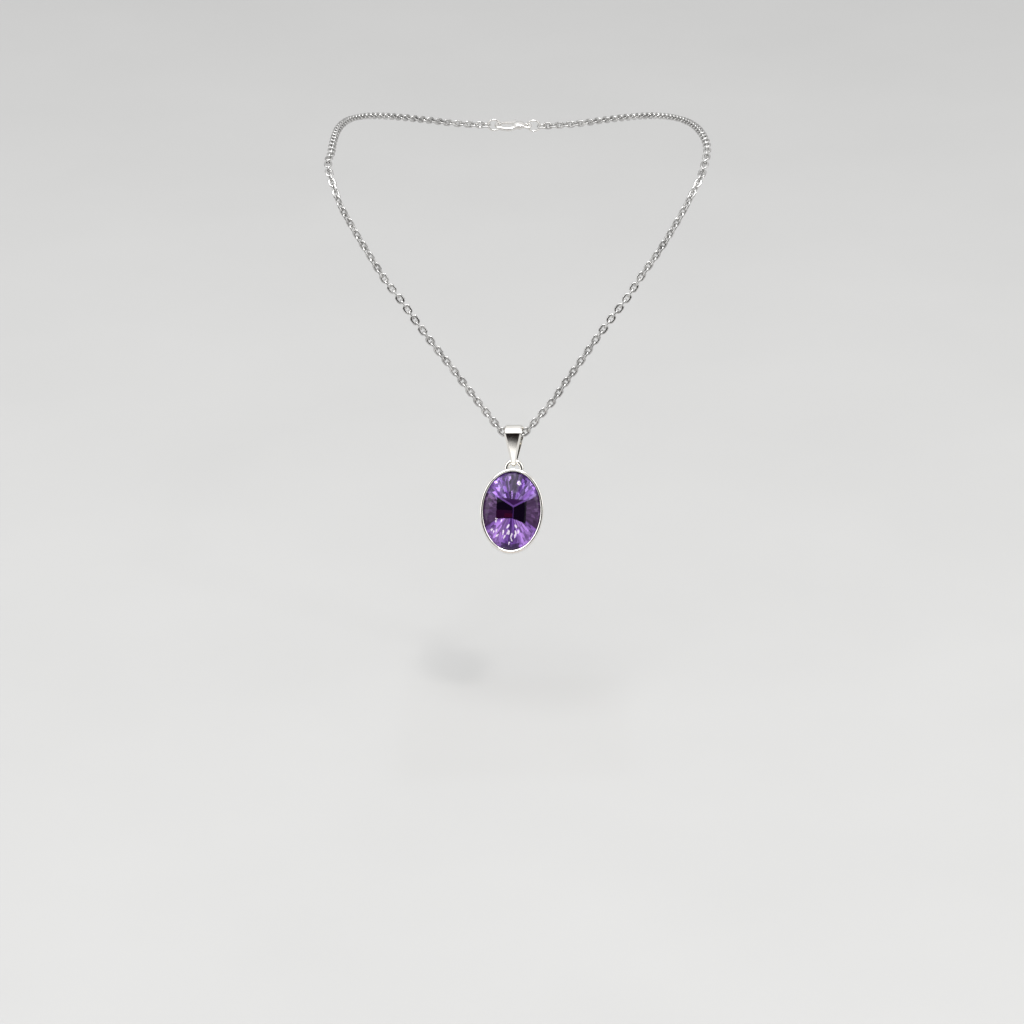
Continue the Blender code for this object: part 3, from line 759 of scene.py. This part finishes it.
def bezel_seat_mesh():
    """The bearing inside the wall: a sloping front for the stone, and a flat back."""
    outer = BEZEL_WALL + SEAT_GAP
    inner = outer + SEAT_WIDTH
    soft = SEAT_SOFTNESS
    profile = [
        (outer, SEAT_FRONT + soft),
        (outer + soft, SEAT_FRONT),
        (inner - soft, SEAT_SLOPE_END),
        (inner, SEAT_INNER_EDGE),
        (inner, SEAT_BACK - soft),
        (inner - soft, SEAT_BACK),
        (outer, SEAT_BACK),
    ]
    return mesh_of("bezel_seat", oval_band(profile), 30)


def hanging_loop_mesh():
    """Half a ring of round wire whose two feet stand on the bezel's top."""
    line, outward = [], []
    line.append(Vector((LOOP_RADIUS, -LOOP_FOOT_DEPTH, 0)))
    outward.append(Vector((1, 0, 0)))
    for k in range(LOOP_BEND_STEPS + 1):
        angle = math.pi * k / LOOP_BEND_STEPS
        normal = Vector((math.cos(angle), math.sin(angle), 0))
        line.append(normal * LOOP_RADIUS)
        outward.append(normal)
    line.append(Vector((-LOOP_RADIUS, -LOOP_FOOT_DEPTH, 0)))
    outward.append(Vector((-1, 0, 0)))
    builder = swept_bar(wire_sections(line, outward, LOOP_WIRE / 2, LOOP_SIDES))
    stand_up = Matrix.Rotation(math.pi / 2, 4, "X")
    bmesh.ops.transform(builder, matrix=stand_up, verts=builder.verts)
    return mesh_of("hanging_loop", builder)


# ---------------------------------------------------------------- stone

STONE_SECTORS = 192
STONE_RINGS = 72
PLEATS = 34
RING_EDGES = (0.50, 0.66, 0.78, 0.88, 0.95)

NEAR_BLACK = (0.005, 0.002, 0.009)
PLUM = (0.022, 0.003, 0.022)
RED_GLOW = (0.042, 0.003, 0.020)
MUTED = (0.066, 0.030, 0.088)
GREY_LILAC = (0.200, 0.130, 0.330)
LILAC = (0.200, 0.088, 0.380)
PALE_LILAC = (0.400, 0.220, 0.620)
VIOLET = (0.110, 0.040, 0.240)
DUSK = (0.060, 0.030, 0.110)
PAINTED_GLINT_WHITE = (0.95, 0.84, 0.98)

# Each fan's colours, from straight up or straight down out to where the plain side facets start. The
# purple is the stone's own; the lighter lilacs of the fans against the muted sides are painted light
# returned by the facets.
UPPER_FAN = (DUSK, DUSK, VIOLET, GREY_LILAC, LILAC, GREY_LILAC)
LOWER_FAN = (VIOLET, LILAC, PALE_LILAC, PALE_LILAC, LILAC)
FAN_HALF_ANGLE = 64.0
WINDOW_LEAN = 0.03
FAN_SPREAD = 0.75
SIDE_SPREAD = 0.25

# Painted highlights: white glints painted into the facet colours, how many there are, and where in
# the lower fan they lie.
GLINT_COUNT = 22
GLINT_RADII = (0.40, 0.92)
GLINT_ANGLES = (203.0, 305.0)
GLINT_LENGTHS = (0.035, 0.13)
GLINT_WIDTHS = (0.025, 0.060)
GLINT_SLANT = 0.5

STONE_SEED = 7
SHADED_RINGS = 8
RING_WAVE = 0.025
SHADE_GAIN = 1.5
SHADE_MIDDLE = 0.45

# The thin line along each pleat: light where neighbours are alike, dark in the fans.
PLEAT_LINE = 0.12
LIGHT_LINE = 1.35
DARK_LINE = 0.6
PLAIN_SPREAD = 0.4

# Painted shade: the dark patch at the foot of the stone, and the dark rim under the bezel's lip.
FOOT_RADIUS = 0.84
FOOT_HALF_WIDTH = 0.30
FOOT_SHADE = (0.6, 1.2)
RIM_RADIUS = 0.955
RIM_SHADE = 0.45

# Painted reflection: the dark window in the middle, with its lighter V and red glow, in halves of
# the stone's width and height.
WINDOW_SIDES = (-0.52, 0.49)
WINDOW_FOOT = -0.20
WINDOW_FOOT_SLOPES = (0.04, 0.24)
WINDOW_FOOT_BREAK = 0.02
WINDOW_TOP = 0.29
WINDOW_TOP_SLOPE = 0.04
KEEL = 0.05
KEEL_HALF_WIDTH = 0.016
V_FOOT = 0.075
V_SLOPE = 0.42
V_THICKNESS = 0.05
GLOW_SIDES = (-0.24, 0.04)
GLOW_HEIGHTS = (-0.17, -0.08)

# How far the facets lean: at the middle, more towards the rim, outwards, and at random.
LEAN_AT_MIDDLE = 0.10
LEAN_GAIN = 0.25
LEAN_OUTWARDS = 0.5
LEAN_RANDOM = 0.22

DOME_FLATNESS = 2.3
DOME_FULLNESS = 0.92
# The back of the stone: its width, height and depth from the girdle to the keel.
STONE_BACK_PROFILE = [
    (1.00, 1.00, GIRDLE_BACK),
    (0.90, 0.92, -0.75 * MM),
    (0.72, 0.76, 0.25 * MM),
    (0.40, 0.52, 1.70 * MM),
    (0.06, 0.22, STONE_BACK),
]
BACK_PLEATS = 12
BACK_PLEAT_DEPTH = 0.035
PLEATED_BACK_RINGS = 4
FACING_FRONT = -0.05


def blend(first, second, share):
    return tuple(a + (b - a) * share for a, b in zip(first, second))


def scaled(colour, factor):
    return tuple(min(1.0, c * factor) for c in colour)


class StoneFacets:
    """The colour, with painted light and shade in it, and the lean of the facet that is seen at
    (across, up), each from -1 to 1.
    """

    def __init__(self):
        random.seed(STONE_SEED)
        count = PLEATS * 2
        self.shade = [[random.random() for _ in range(SHADED_RINGS)] for _ in range(count)]
        self.lean = []
        for _ in range(count):
            rings = range(SHADED_RINGS)
            self.lean.append([(random.uniform(-1, 1), random.uniform(-1, 1)) for _ in rings])
        self.glints = [self.glint() for _ in range(GLINT_COUNT)]

    def glint(self):
        """A painted highlight on one pleat of the lower fan: its middle, length, width and slant."""
        angle = math.radians(random.uniform(*GLINT_ANGLES))
        radius = random.uniform(*GLINT_RADII)
        slant = angle + random.uniform(-GLINT_SLANT, GLINT_SLANT)
        length = random.uniform(*GLINT_LENGTHS)
        width = random.uniform(*GLINT_WIDTHS)
        return radius * math.cos(angle), radius * math.sin(angle), length, width, slant

    def cell(self, across, up):
        """Which pleat and ring, how far across the pleat, the radius and the angle in degrees."""
        radius = math.hypot(across, up)
        turn = math.atan2(up, across) % math.tau
        ring = 0
        for i, edge in enumerate(RING_EDGES):
            if radius > edge + RING_WAVE * math.sin(turn * PLEATS + i):
                ring = i + 1
        part = (turn / math.tau * PLEATS + 0.5 * (ring % 2)) % PLEATS
        return int(part * 2) % (PLEATS * 2), ring, part % 1.0, radius, math.degrees(turn)

    def around(self, turn):
        """The base colour at this angle, partly painted light, and how much neighbouring facets
        differ.
        """
        fan = UPPER_FAN if turn < 180 else LOWER_FAN
        share = abs(turn % 180 - 90) / FAN_HALF_ANGLE
        if share >= 1.0:
            return MUTED, SIDE_SPREAD
        place = share * (len(fan) - 1)
        first = int(place)
        return blend(fan[first], fan[first + 1], place - first), FAN_SPREAD

    def colour(self, across, up):
        # Painted reflection: the dark window in the middle is painted into the colour.
        if self.in_window(across, up):
            return self.painted_window(across, up)
        # Painted highlights: a glint paints its facet pink-white.
        for x, y, length, width, lean in self.glints:
            along = (across - x) * math.cos(lean) + (up - y) * math.sin(lean)
            off = (up - y) * math.cos(lean) - (across - x) * math.sin(lean)
            if (along / length * 2) ** 2 + (off / width * 2) ** 2 < 1.0:
                return PAINTED_GLINT_WHITE
        column, ring, within, radius, turn = self.cell(across, up)
        base, spread = self.around(turn)
        value = self.shade[column][ring]
        colour = scaled(base, 1.0 + spread * SHADE_GAIN * (value - SHADE_MIDDLE))
        if within < PLEAT_LINE:
            colour = scaled(colour, LIGHT_LINE if spread < PLAIN_SPREAD else DARK_LINE)
        # Painted shade: the foot of the stone is darkened.
        if radius > FOOT_RADIUS and abs(across) < FOOT_HALF_WIDTH and up < 0:
            colour = scaled(DUSK, FOOT_SHADE[0] + FOOT_SHADE[1] * value)
        # Painted shade: the rim under the bezel's lip is darkened.
        if radius > RIM_RADIUS:
            colour = scaled(colour, RIM_SHADE)
        return colour

    def in_window(self, across, up):
        left_slope, right_slope = WINDOW_FOOT_SLOPES
        low = WINDOW_FOOT - left_slope * max(0.0, -across)
        low -= right_slope * max(0.0, across - WINDOW_FOOT_BREAK)
        left, right = WINDOW_SIDES
        return left < across < right and low < up < WINDOW_TOP - WINDOW_TOP_SLOPE * across

    def painted_window(self, across, up):
        """Painted reflection of dark surroundings: the dark middle, with a lighter V at its top, a
        red glow and a keel line down its centre.
        """
        notch = V_FOOT + V_SLOPE * abs(across - KEEL)
        if up > notch + V_THICKNESS:
            return blend(PLUM, VIOLET, 0.25)
        if up > notch:
            return scaled(LILAC, 0.8)
        if abs(across - KEEL) < KEEL_HALF_WIDTH:
            return scaled(VIOLET, 0.45)
        in_glow = GLOW_SIDES[0] < across < GLOW_SIDES[1]
        if in_glow and GLOW_HEIGHTS[0] < up < GLOW_HEIGHTS[1]:
            return RED_GLOW
        if across < 0 and up < 0.0:
            return PLUM
        return NEAR_BLACK

    def normal(self, across, up):
        if self.in_window(across, up):
            return Vector((WINDOW_LEAN if across > 0 else -WINDOW_LEAN, -1.0, 0.0)).normalized()
        column, ring, _, radius, turn = self.cell(across, up)
        tilt, swing = self.lean[column][ring]
        lean = LEAN_AT_MIDDLE + LEAN_GAIN * min(1.0, radius)
        angle = math.radians(turn)
        out_x = math.cos(angle) * lean * LEAN_OUTWARDS + LEAN_RANDOM * tilt
        out_z = math.sin(angle) * lean * LEAN_OUTWARDS + LEAN_RANDOM * swing
        return Vector((out_x, -1.0, out_z)).normalized()


def stone_mesh():
    """A polished oval dome over a deep faceted back that ends in a keel."""
    builder = bmesh.new()
    rings = []
    for i in range(1, STONE_RINGS + 1):
        share = i / STONE_RINGS
        rise = (1 - share**DOME_FLATNESS) ** DOME_FULLNESS
        rings.append((share, share, GIRDLE_FRONT + (STONE_FRONT - GIRDLE_FRONT) * rise))
    loops = []
    for index, (across, down, depth) in enumerate(rings + STONE_BACK_PROFILE):
        behind = index - len(rings)
        pleated = 1 <= behind < PLEATED_BACK_RINGS
        loop = []
        for k in range(STONE_SECTORS):
            angle = math.tau * k / STONE_SECTORS
            pleat = 1.0
            if pleated:
                pleat -= BACK_PLEAT_DEPTH * abs(math.sin(angle * BACK_PLEATS))
            x = STONE_HALF_WIDTH * across * pleat * math.cos(angle)
            z = STONE_HALF_HEIGHT * down * pleat * math.sin(angle) + BEZEL_CENTRE
            loop.append(builder.verts.new((x, depth, z)))
        loops.append(loop)
    for first, second in zip(loops, loops[1:]):
        ring_strip(builder, first, second)
    crown = builder.verts.new((0, STONE_FRONT, BEZEL_CENTRE))
    for k in range(STONE_SECTORS):
        builder.faces.new((crown, loops[0][(k + 1) % STONE_SECTORS], loops[0][k]))
    builder.faces.new(loops[-1])
    mesh = mesh_of("gemstone", builder, 25)
    facets = StoneFacets()
    colours, normals = [], []
    for face in mesh.polygons:
        across = face.center.x / STONE_HALF_WIDTH
        up = (face.center.z - BEZEL_CENTRE) / STONE_HALF_HEIGHT
        if face.normal.y < FACING_FRONT:
            colours += (*facets.colour(across, up), 1.0)
            normals += tuple(facets.normal(across, up))
        else:
            colours += (*scaled(LILAC, 0.6), 1.0)
            normals += tuple(face.normal)
    # The facet colours hold painted light and shade: glints, the dark window, the fans' light, and
    # the darkened foot and rim.
    colour = mesh.attributes.new("facet_colour_and_painted_light", "FLOAT_COLOR", "FACE")
    colour.data.foreach_set("color", colours)
    normal = mesh.attributes.new("facet_normal", "FLOAT_VECTOR", "FACE")
    normal.data.foreach_set("vector", normals)
    return mesh


def add_pendant(line):
    piece("bail", bail_mesh(), PENDANT_SILVER, "bail", "bail", bail_place(line))
    place = pendant_place(line)
    for name, mesh, finish, slot in (
        ("hanging_loop", hanging_loop_mesh(), PENDANT_SILVER, "warm_silver"),
        ("bezel_wall", bezel_wall_mesh(), PENDANT_SILVER, "warm_silver"),
        ("bezel_seat", bezel_seat_mesh(), PENDANT_SILVER, "warm_silver"),
        ("gemstone", stone_mesh(), amethyst("amethyst"), "amethyst"),
    ):
        piece(name, mesh, finish, "pendant", name, place)


# ---------------------------------------------------------------- clasp

HOOK_SIDES = 20
HOOK_STEPS = 8
BARREL_HALF_SIZES = (1.55 * MM, 1.30 * MM, 0.86 * MM)
BARREL_CENTRE = (2.05 * MM, -0.10 * MM)
SLOT_LOW = (1.30 * MM, -2.0 * MM, -SLOT_WIDTH / 2)
SLOT_HIGH = (4.60 * MM, -0.05 * MM, SLOT_WIDTH / 2)
BORE_LENGTH = 3 * MM
CARVED_EDGE = 0.05 * MM
CARVED_EDGE_ANGLE = 40
CARVED_SMOOTH_ANGLE = 35
SPRING_LINE = [(-1.02, 0.30), (-0.98, 0.05), (-0.86, -0.20), (-0.66, -0.40)]
SPRING_THICKNESS = 0.10 * MM
SPRING_WIDTH = 0.50 * MM


def curve_bar(name, points, radii):
    """A round bar along a smooth line of (x, y) points in millimetres, as a mesh."""
    line = [Vector((x * MM, y * MM, 0)) for x, y in points]
    fine, fine_radii = [], []
    padded = [2 * line[0] - line[1], *line, 2 * line[-1] - line[-2]]
    for i in range(len(line) - 1):
        four = [np.array(p) for p in padded[i : i + 4]]
        for k in range(HOOK_STEPS):
            share = k / HOOK_STEPS
            fine.append(Vector(centripetal_point(*four, share)))
            fine_radii.append(radii[i] + (radii[i + 1] - radii[i]) * share)
    fine.append(line[-1])
    fine_radii.append(radii[-1])
    sections = []
    for i, (point, radius) in enumerate(zip(fine, fine_radii)):
        ahead = fine[min(i + 1, len(fine) - 1)] - fine[max(i - 1, 0)]
        normal = Vector((-ahead.y, ahead.x, 0)).normalized()
        section = []
        for k in range(HOOK_SIDES):
            angle = math.tau * k / HOOK_SIDES
            across = normal * (radius * MM * math.cos(angle))
            section.append(point + across + Vector((0, 0, radius * MM * math.sin(angle))))
        sections.append(section)
    return mesh_of(name, swept_bar(sections))


def box_mesh(name, low, high):
    builder = bmesh.new()
    bmesh.ops.create_cube(builder, size=1.0)
    for vert in builder.verts:
        vert.co = Vector([(l + h) / 2 + c * (h - l) for l, h, c in zip(low, high, vert.co)])
    return mesh_of(name, builder)


def cylinder_mesh(name, radius, length, steps):
    builder = bmesh.new()
    bmesh.ops.create_cone(
        builder, cap_ends=True, segments=steps, radius1=radius, radius2=radius, depth=length
    )
    return mesh_of(name, builder)


def barrel_mesh():
    builder = bmesh.new()
    bmesh.ops.create_uvsphere(builder, u_segments=48, v_segments=28, radius=1.0)
    half_sizes = Vector(BARREL_HALF_SIZES)
    for vert in builder.verts:
        vert.co = Vector(
            (vert.co.z * half_sizes.x, vert.co.x * half_sizes.y, vert.co.y * half_sizes.z)
        )
        vert.co.x += BARREL_CENTRE[0]
        vert.co.y += BARREL_CENTRE[1]
    return mesh_of("lobster_barrel", builder)


def carved(name, base, steps):
    """The mesh that is left after Boolean steps of (operation, mesh, place) on a base mesh."""
    body = bpy.data.objects.new(name, base)
    bpy.context.scene.collection.objects.link(body)
    tools = []
    for operation, mesh, place in steps:
        tool = bpy.data.objects.new(name + "_tool", mesh)
        tool.matrix_world = place
        bpy.context.scene.collection.objects.link(tool)
        tools.append(tool)
        modifier = body.modifiers.new("carve", "BOOLEAN")
        modifier.operation = operation
        modifier.solver = "EXACT"
        modifier.object = tool
    bevel = body.modifiers.new("soften", "BEVEL")
    bevel.width = CARVED_EDGE
    bevel.segments = 2
    bevel.limit_method = "ANGLE"
    bevel.angle_limit = math.radians(CARVED_EDGE_ANGLE)
    bpy.context.view_layer.update()
    graph = bpy.context.evaluated_depsgraph_get()
    made = bpy.data.meshes.new_from_object(body.evaluated_get(graph))
    for used in [*tools, body]:
        bpy.data.objects.remove(used, do_unlink=True)
    made.name = name
    made.shade_smooth()
    made.set_sharp_from_angle(angle=math.radians(CARVED_SMOOTH_ANGLE))
    return made


LEVER_OUTLINE = [
    (-0.50, 0.10),
    (-0.42, 0.32),
    (-0.15, 0.42),
    (0.60, 0.22),
    (1.50, -0.05),
    (2.60, -0.02),
    (3.35, 0.10),
    (3.62, 0.02),
    (3.66, -0.22),
    (3.45, -0.36),
    (2.60, -0.52),
    (1.60, -0.60),
    (1.05, -0.72),
    (0.85, -1.10),
    (0.55, -1.35),
    (0.20, -1.30),
    (0.02, -0.95),
    (-0.15, -0.60),
    (-0.42, -0.30),
]
HOOK_LINE = [
    (2.3, 0.35),
    (3.4, 1.15),
    (4.7, 1.55),
    (6.0, 1.35),
    (7.05, 0.75),
    (7.5, 0.0),
    (7.25, -0.75),
    (6.72, -1.20),
]
HOOK_RADII = [0.62, 0.60, 0.55, 0.52, 0.50, 0.50, 0.42, 0.32]


def lever_blank():
    sections = []
    for height in (-LEVER_THICKNESS / 2, LEVER_THICKNESS / 2):
        sections.append([Vector((x * MM, y * MM, height)) for x, y in LEVER_OUTLINE])
    return mesh_of("clasp_lever", swept_bar(sections))


def spring_mesh():
    """A bent leaf that presses on the lever's tail."""
    sections = []
    for i, (x, y) in enumerate(SPRING_LINE):
        before = SPRING_LINE[max(i - 1, 0)]
        after = SPRING_LINE[min(i + 1, len(SPRING_LINE) - 1)]
        ahead = Vector((after[0] - before[0], after[1] - before[1], 0)).normalized()
        normal = Vector((-ahead.y, ahead.x, 0)) * (SPRING_THICKNESS / 2)
        centre = Vector((x * MM, y * MM, 0))
        rise = Vector((0, 0, SPRING_WIDTH / 2))
        corners = [centre - normal - rise, centre + normal - rise]
        sections.append(corners + [centre + normal + rise, centre - normal + rise])
    return mesh_of("lever_spring", swept_bar(sections), 30)


def add_clasp(line):
    place = clasp_place(line)
    upright = Matrix.Rotation(math.pi / 2, 4, "X")
    for name, centre in (("clasp_jump_ring", -RING_RADIUS), ("catch_ring", CATCH_RING_CENTRE)):
        ring = torus_mesh(name, RING_RADIUS, RING_WIRE, 64, 16)
        ring_place = place @ Matrix.Translation((centre, 0, 0)) @ upright
        piece(name, ring, CLASP_SILVER, "back", name, ring_place)
    ends = (
        ("end_link_right", -RING_RADIUS - end_ring_offset()),
        ("end_link_left", CATCH_RING_CENTRE + end_ring_offset()),
    )
    for name, centre in ends:
        link_place = place @ Matrix.Translation((centre, 0, 0))
        piece(name, link_mesh(name), CHAIN_SILVER, "back", name, link_place)

    here = Matrix.Identity(4)
    at_pivot = Matrix.Translation((*PIVOT, 0))
    hole = PIN_RADIUS + PIN_PLAY
    body = carved(
        "lobster_body",
        torus_mesh("lobster_eye", EYE_RADIUS, EYE_WIRE, 48, 16),
        [
            ("UNION", barrel_mesh(), here),
            ("UNION", curve_bar("hook", HOOK_LINE, HOOK_RADII), here),
            ("DIFFERENCE", box_mesh("slot", SLOT_LOW, SLOT_HIGH), here),
            ("DIFFERENCE", cylinder_mesh("pin_hole", hole, BORE_LENGTH, 32), at_pivot),
        ],
    )
    piece("lobster_body", body, CLASP_SILVER, "clasp", "lobster_body", place)
    lever_hole = cylinder_mesh("lever_bore", hole, BORE_LENGTH, 32)
    lever = carved("clasp_lever", lever_blank(), [("DIFFERENCE", lever_hole, here)])
    pivot_place = place @ at_pivot
    piece("clasp_lever", lever, CLASP_SILVER, "lever", "clasp_lever", pivot_place)
    pin = cylinder_mesh("lever_pin", PIN_RADIUS, PIN_LENGTH, 32)
    piece("lever_pin", pin, STEEL, "clasp", "lever_pin", pivot_place)
    spring = spring_mesh()
    piece("lever_spring", spring, STEEL, "clasp", "lever_spring", pivot_place)


# ---------------------------------------------------------------- stage

CAMERA_PLACE = (-0.00044, -0.89588, 0.30230)
CAMERA_PITCH = math.radians(23.4)
CAMERA_LENS = 149.84
FLOOR_HEIGHT = -0.115
AIM = Vector((0.0, -0.03, -0.06))
SENSOR_WIDTH = 36.0
NEAREST_SEEN = 0.01
FURTHEST_SEEN = 20.0
FLOOR_HALF_SIZE = 3.0
HORIZON_COLOUR = (0.42, 0.415, 0.41, 1.0)
SKY_COLOUR = (1.0, 1.0, 1.0, 1.0)
SKY_START = 0.75
SKY_STRENGTH = 0.95


def aimed(place):
    """A matrix that puts something at place, with its -Z towards the pendant."""
    turn = (AIM - Vector(place)).to_track_quat("-Z", "Y")
    return Matrix.Translation(place) @ turn.to_matrix().to_4x4()


def from_pendant(azimuth, elevation, distance):
    """A place seen from the pendant: azimuth 0 is the viewer's side and 90 is the right."""
    a, e = math.radians(azimuth), math.radians(elevation)
    way = Vector((math.sin(a) * math.cos(e), -math.cos(a) * math.cos(e), math.sin(e)))
    return AIM + way * distance


def add_light(name, place, width, height, power, colour=(1.0, 1.0, 1.0)):
    lamp = bpy.data.lights.new(name, "AREA")
    lamp.shape = "RECTANGLE"
    lamp.size = width
    lamp.size_y = height
    lamp.energy = power
    lamp.color = colour
    made = bpy.data.objects.new(name, lamp)
    made.matrix_world = aimed(place)
    bpy.context.scene.collection.objects.link(made)


def add_card(name, place, width, height, colour, flat=False):
    """A card that only shows in reflections: it faces the pendant, or lies flat."""
    builder = bmesh.new()
    corners = [(-1, -1), (1, -1), (1, 1), (-1, 1)]
    builder.faces.new([builder.verts.new((x * width / 2, y * height / 2, 0)) for x, y in corners])
    mesh = bpy.data.meshes.new(name)
    builder.to_mesh(mesh)
    builder.free()
    n = Nodes(name)
    n.shader.inputs["Base Color"].default_value = (*colour, 1.0)
    n.shader.inputs["Roughness"].default_value = 1.0
    n.shader.inputs["Specular IOR Level"].default_value = 0.0
    mesh.materials.append(n.material)
    made = bpy.data.objects.new(name, mesh)
    made.matrix_world = Matrix.Translation(place) if flat else aimed(place)
    made.visible_camera = False
    made.visible_shadow = False
    made.visible_diffuse = False
    bpy.context.scene.collection.objects.link(made)


def add_world():
    """A soft studio: bright above, dimmer towards the horizon."""
    world = bpy.data.worlds.new("studio")
    world.use_nodes = True
    tree = world.node_tree
    coordinates = tree.nodes.new("ShaderNodeTexCoord")
    split = tree.nodes.new("ShaderNodeSeparateXYZ")
    ramp = tree.nodes.new("ShaderNodeValToRGB")
    tree.links.new(coordinates.outputs["Generated"], split.inputs["Vector"])
    tree.links.new(split.outputs["Z"], ramp.inputs["Fac"])
    elements = ramp.color_ramp.elements
    elements[0].position, elements[0].color = 0.0, HORIZON_COLOUR
    elements[1].position, elements[1].color = SKY_START, SKY_COLOUR
    tree.links.new(ramp.outputs["Color"], tree.nodes["Background"].inputs["Color"])
    tree.nodes["Background"].inputs["Strength"].default_value = SKY_STRENGTH
    bpy.context.scene.world = world


def add_stage():
    lens = bpy.data.cameras.new("camera")
    lens.lens = CAMERA_LENS
    lens.sensor_width = SENSOR_WIDTH
    lens.clip_start = NEAREST_SEEN
    lens.clip_end = FURTHEST_SEEN
    camera = bpy.data.objects.new("camera", lens)
    tilt = Matrix.Rotation(math.pi / 2 - CAMERA_PITCH, 4, "X")
    camera.matrix_world = Matrix.Translation(CAMERA_PLACE) @ tilt
    bpy.context.scene.collection.objects.link(camera)
    bpy.context.scene.camera = camera

    builder = bmesh.new()
    bmesh.ops.create_grid(builder, x_segments=8, y_segments=8, size=FLOOR_HALF_SIZE)
    floor_mesh = bpy.data.meshes.new("floor")
    builder.to_mesh(floor_mesh)
    builder.free()
    floor_mesh.materials.append(pale_floor("floor"))
    floor = bpy.data.objects.new("floor", floor_mesh)
    floor.location = (0, 0, FLOOR_HEIGHT)
    bpy.context.scene.collection.objects.link(floor)

    add_world()

    add_light("overhead", from_pendant(-20, 74, 1.1), 1.0, 0.8, 9.0)
    add_light("key", from_pendant(38, 64, 0.9), 0.12, 0.12, 1.6, (1.0, 0.98, 0.95))
    add_light("front_low", from_pendant(-10, 3, 1.2), 0.56, 0.25, 0.33)
    add_light("side_left", from_pendant(-75, 25, 1.2), 0.5, 0.9, 3.0)
    add_light("side_right", from_pendant(80, 30, 1.2), 0.4, 0.8, 2.0)
    add_card("dark_card", from_pendant(-4, 26, 1.3), 1.60, 0.70, (0.012, 0.008, 0.007))
    add_card("wood_card", (0.0, -0.05, -0.112), 0.05, 0.05, (0.42, 0.36, 0.31), flat=True)
    bpy.context.scene.view_settings.view_transform = "Standard"


def main():
    line = ChainLine(CHAIN_ROUTE, BOTTOM_POINT)
    add_stage()
    add_chain(line)
    add_pendant(line)
    add_clasp(line)


main()
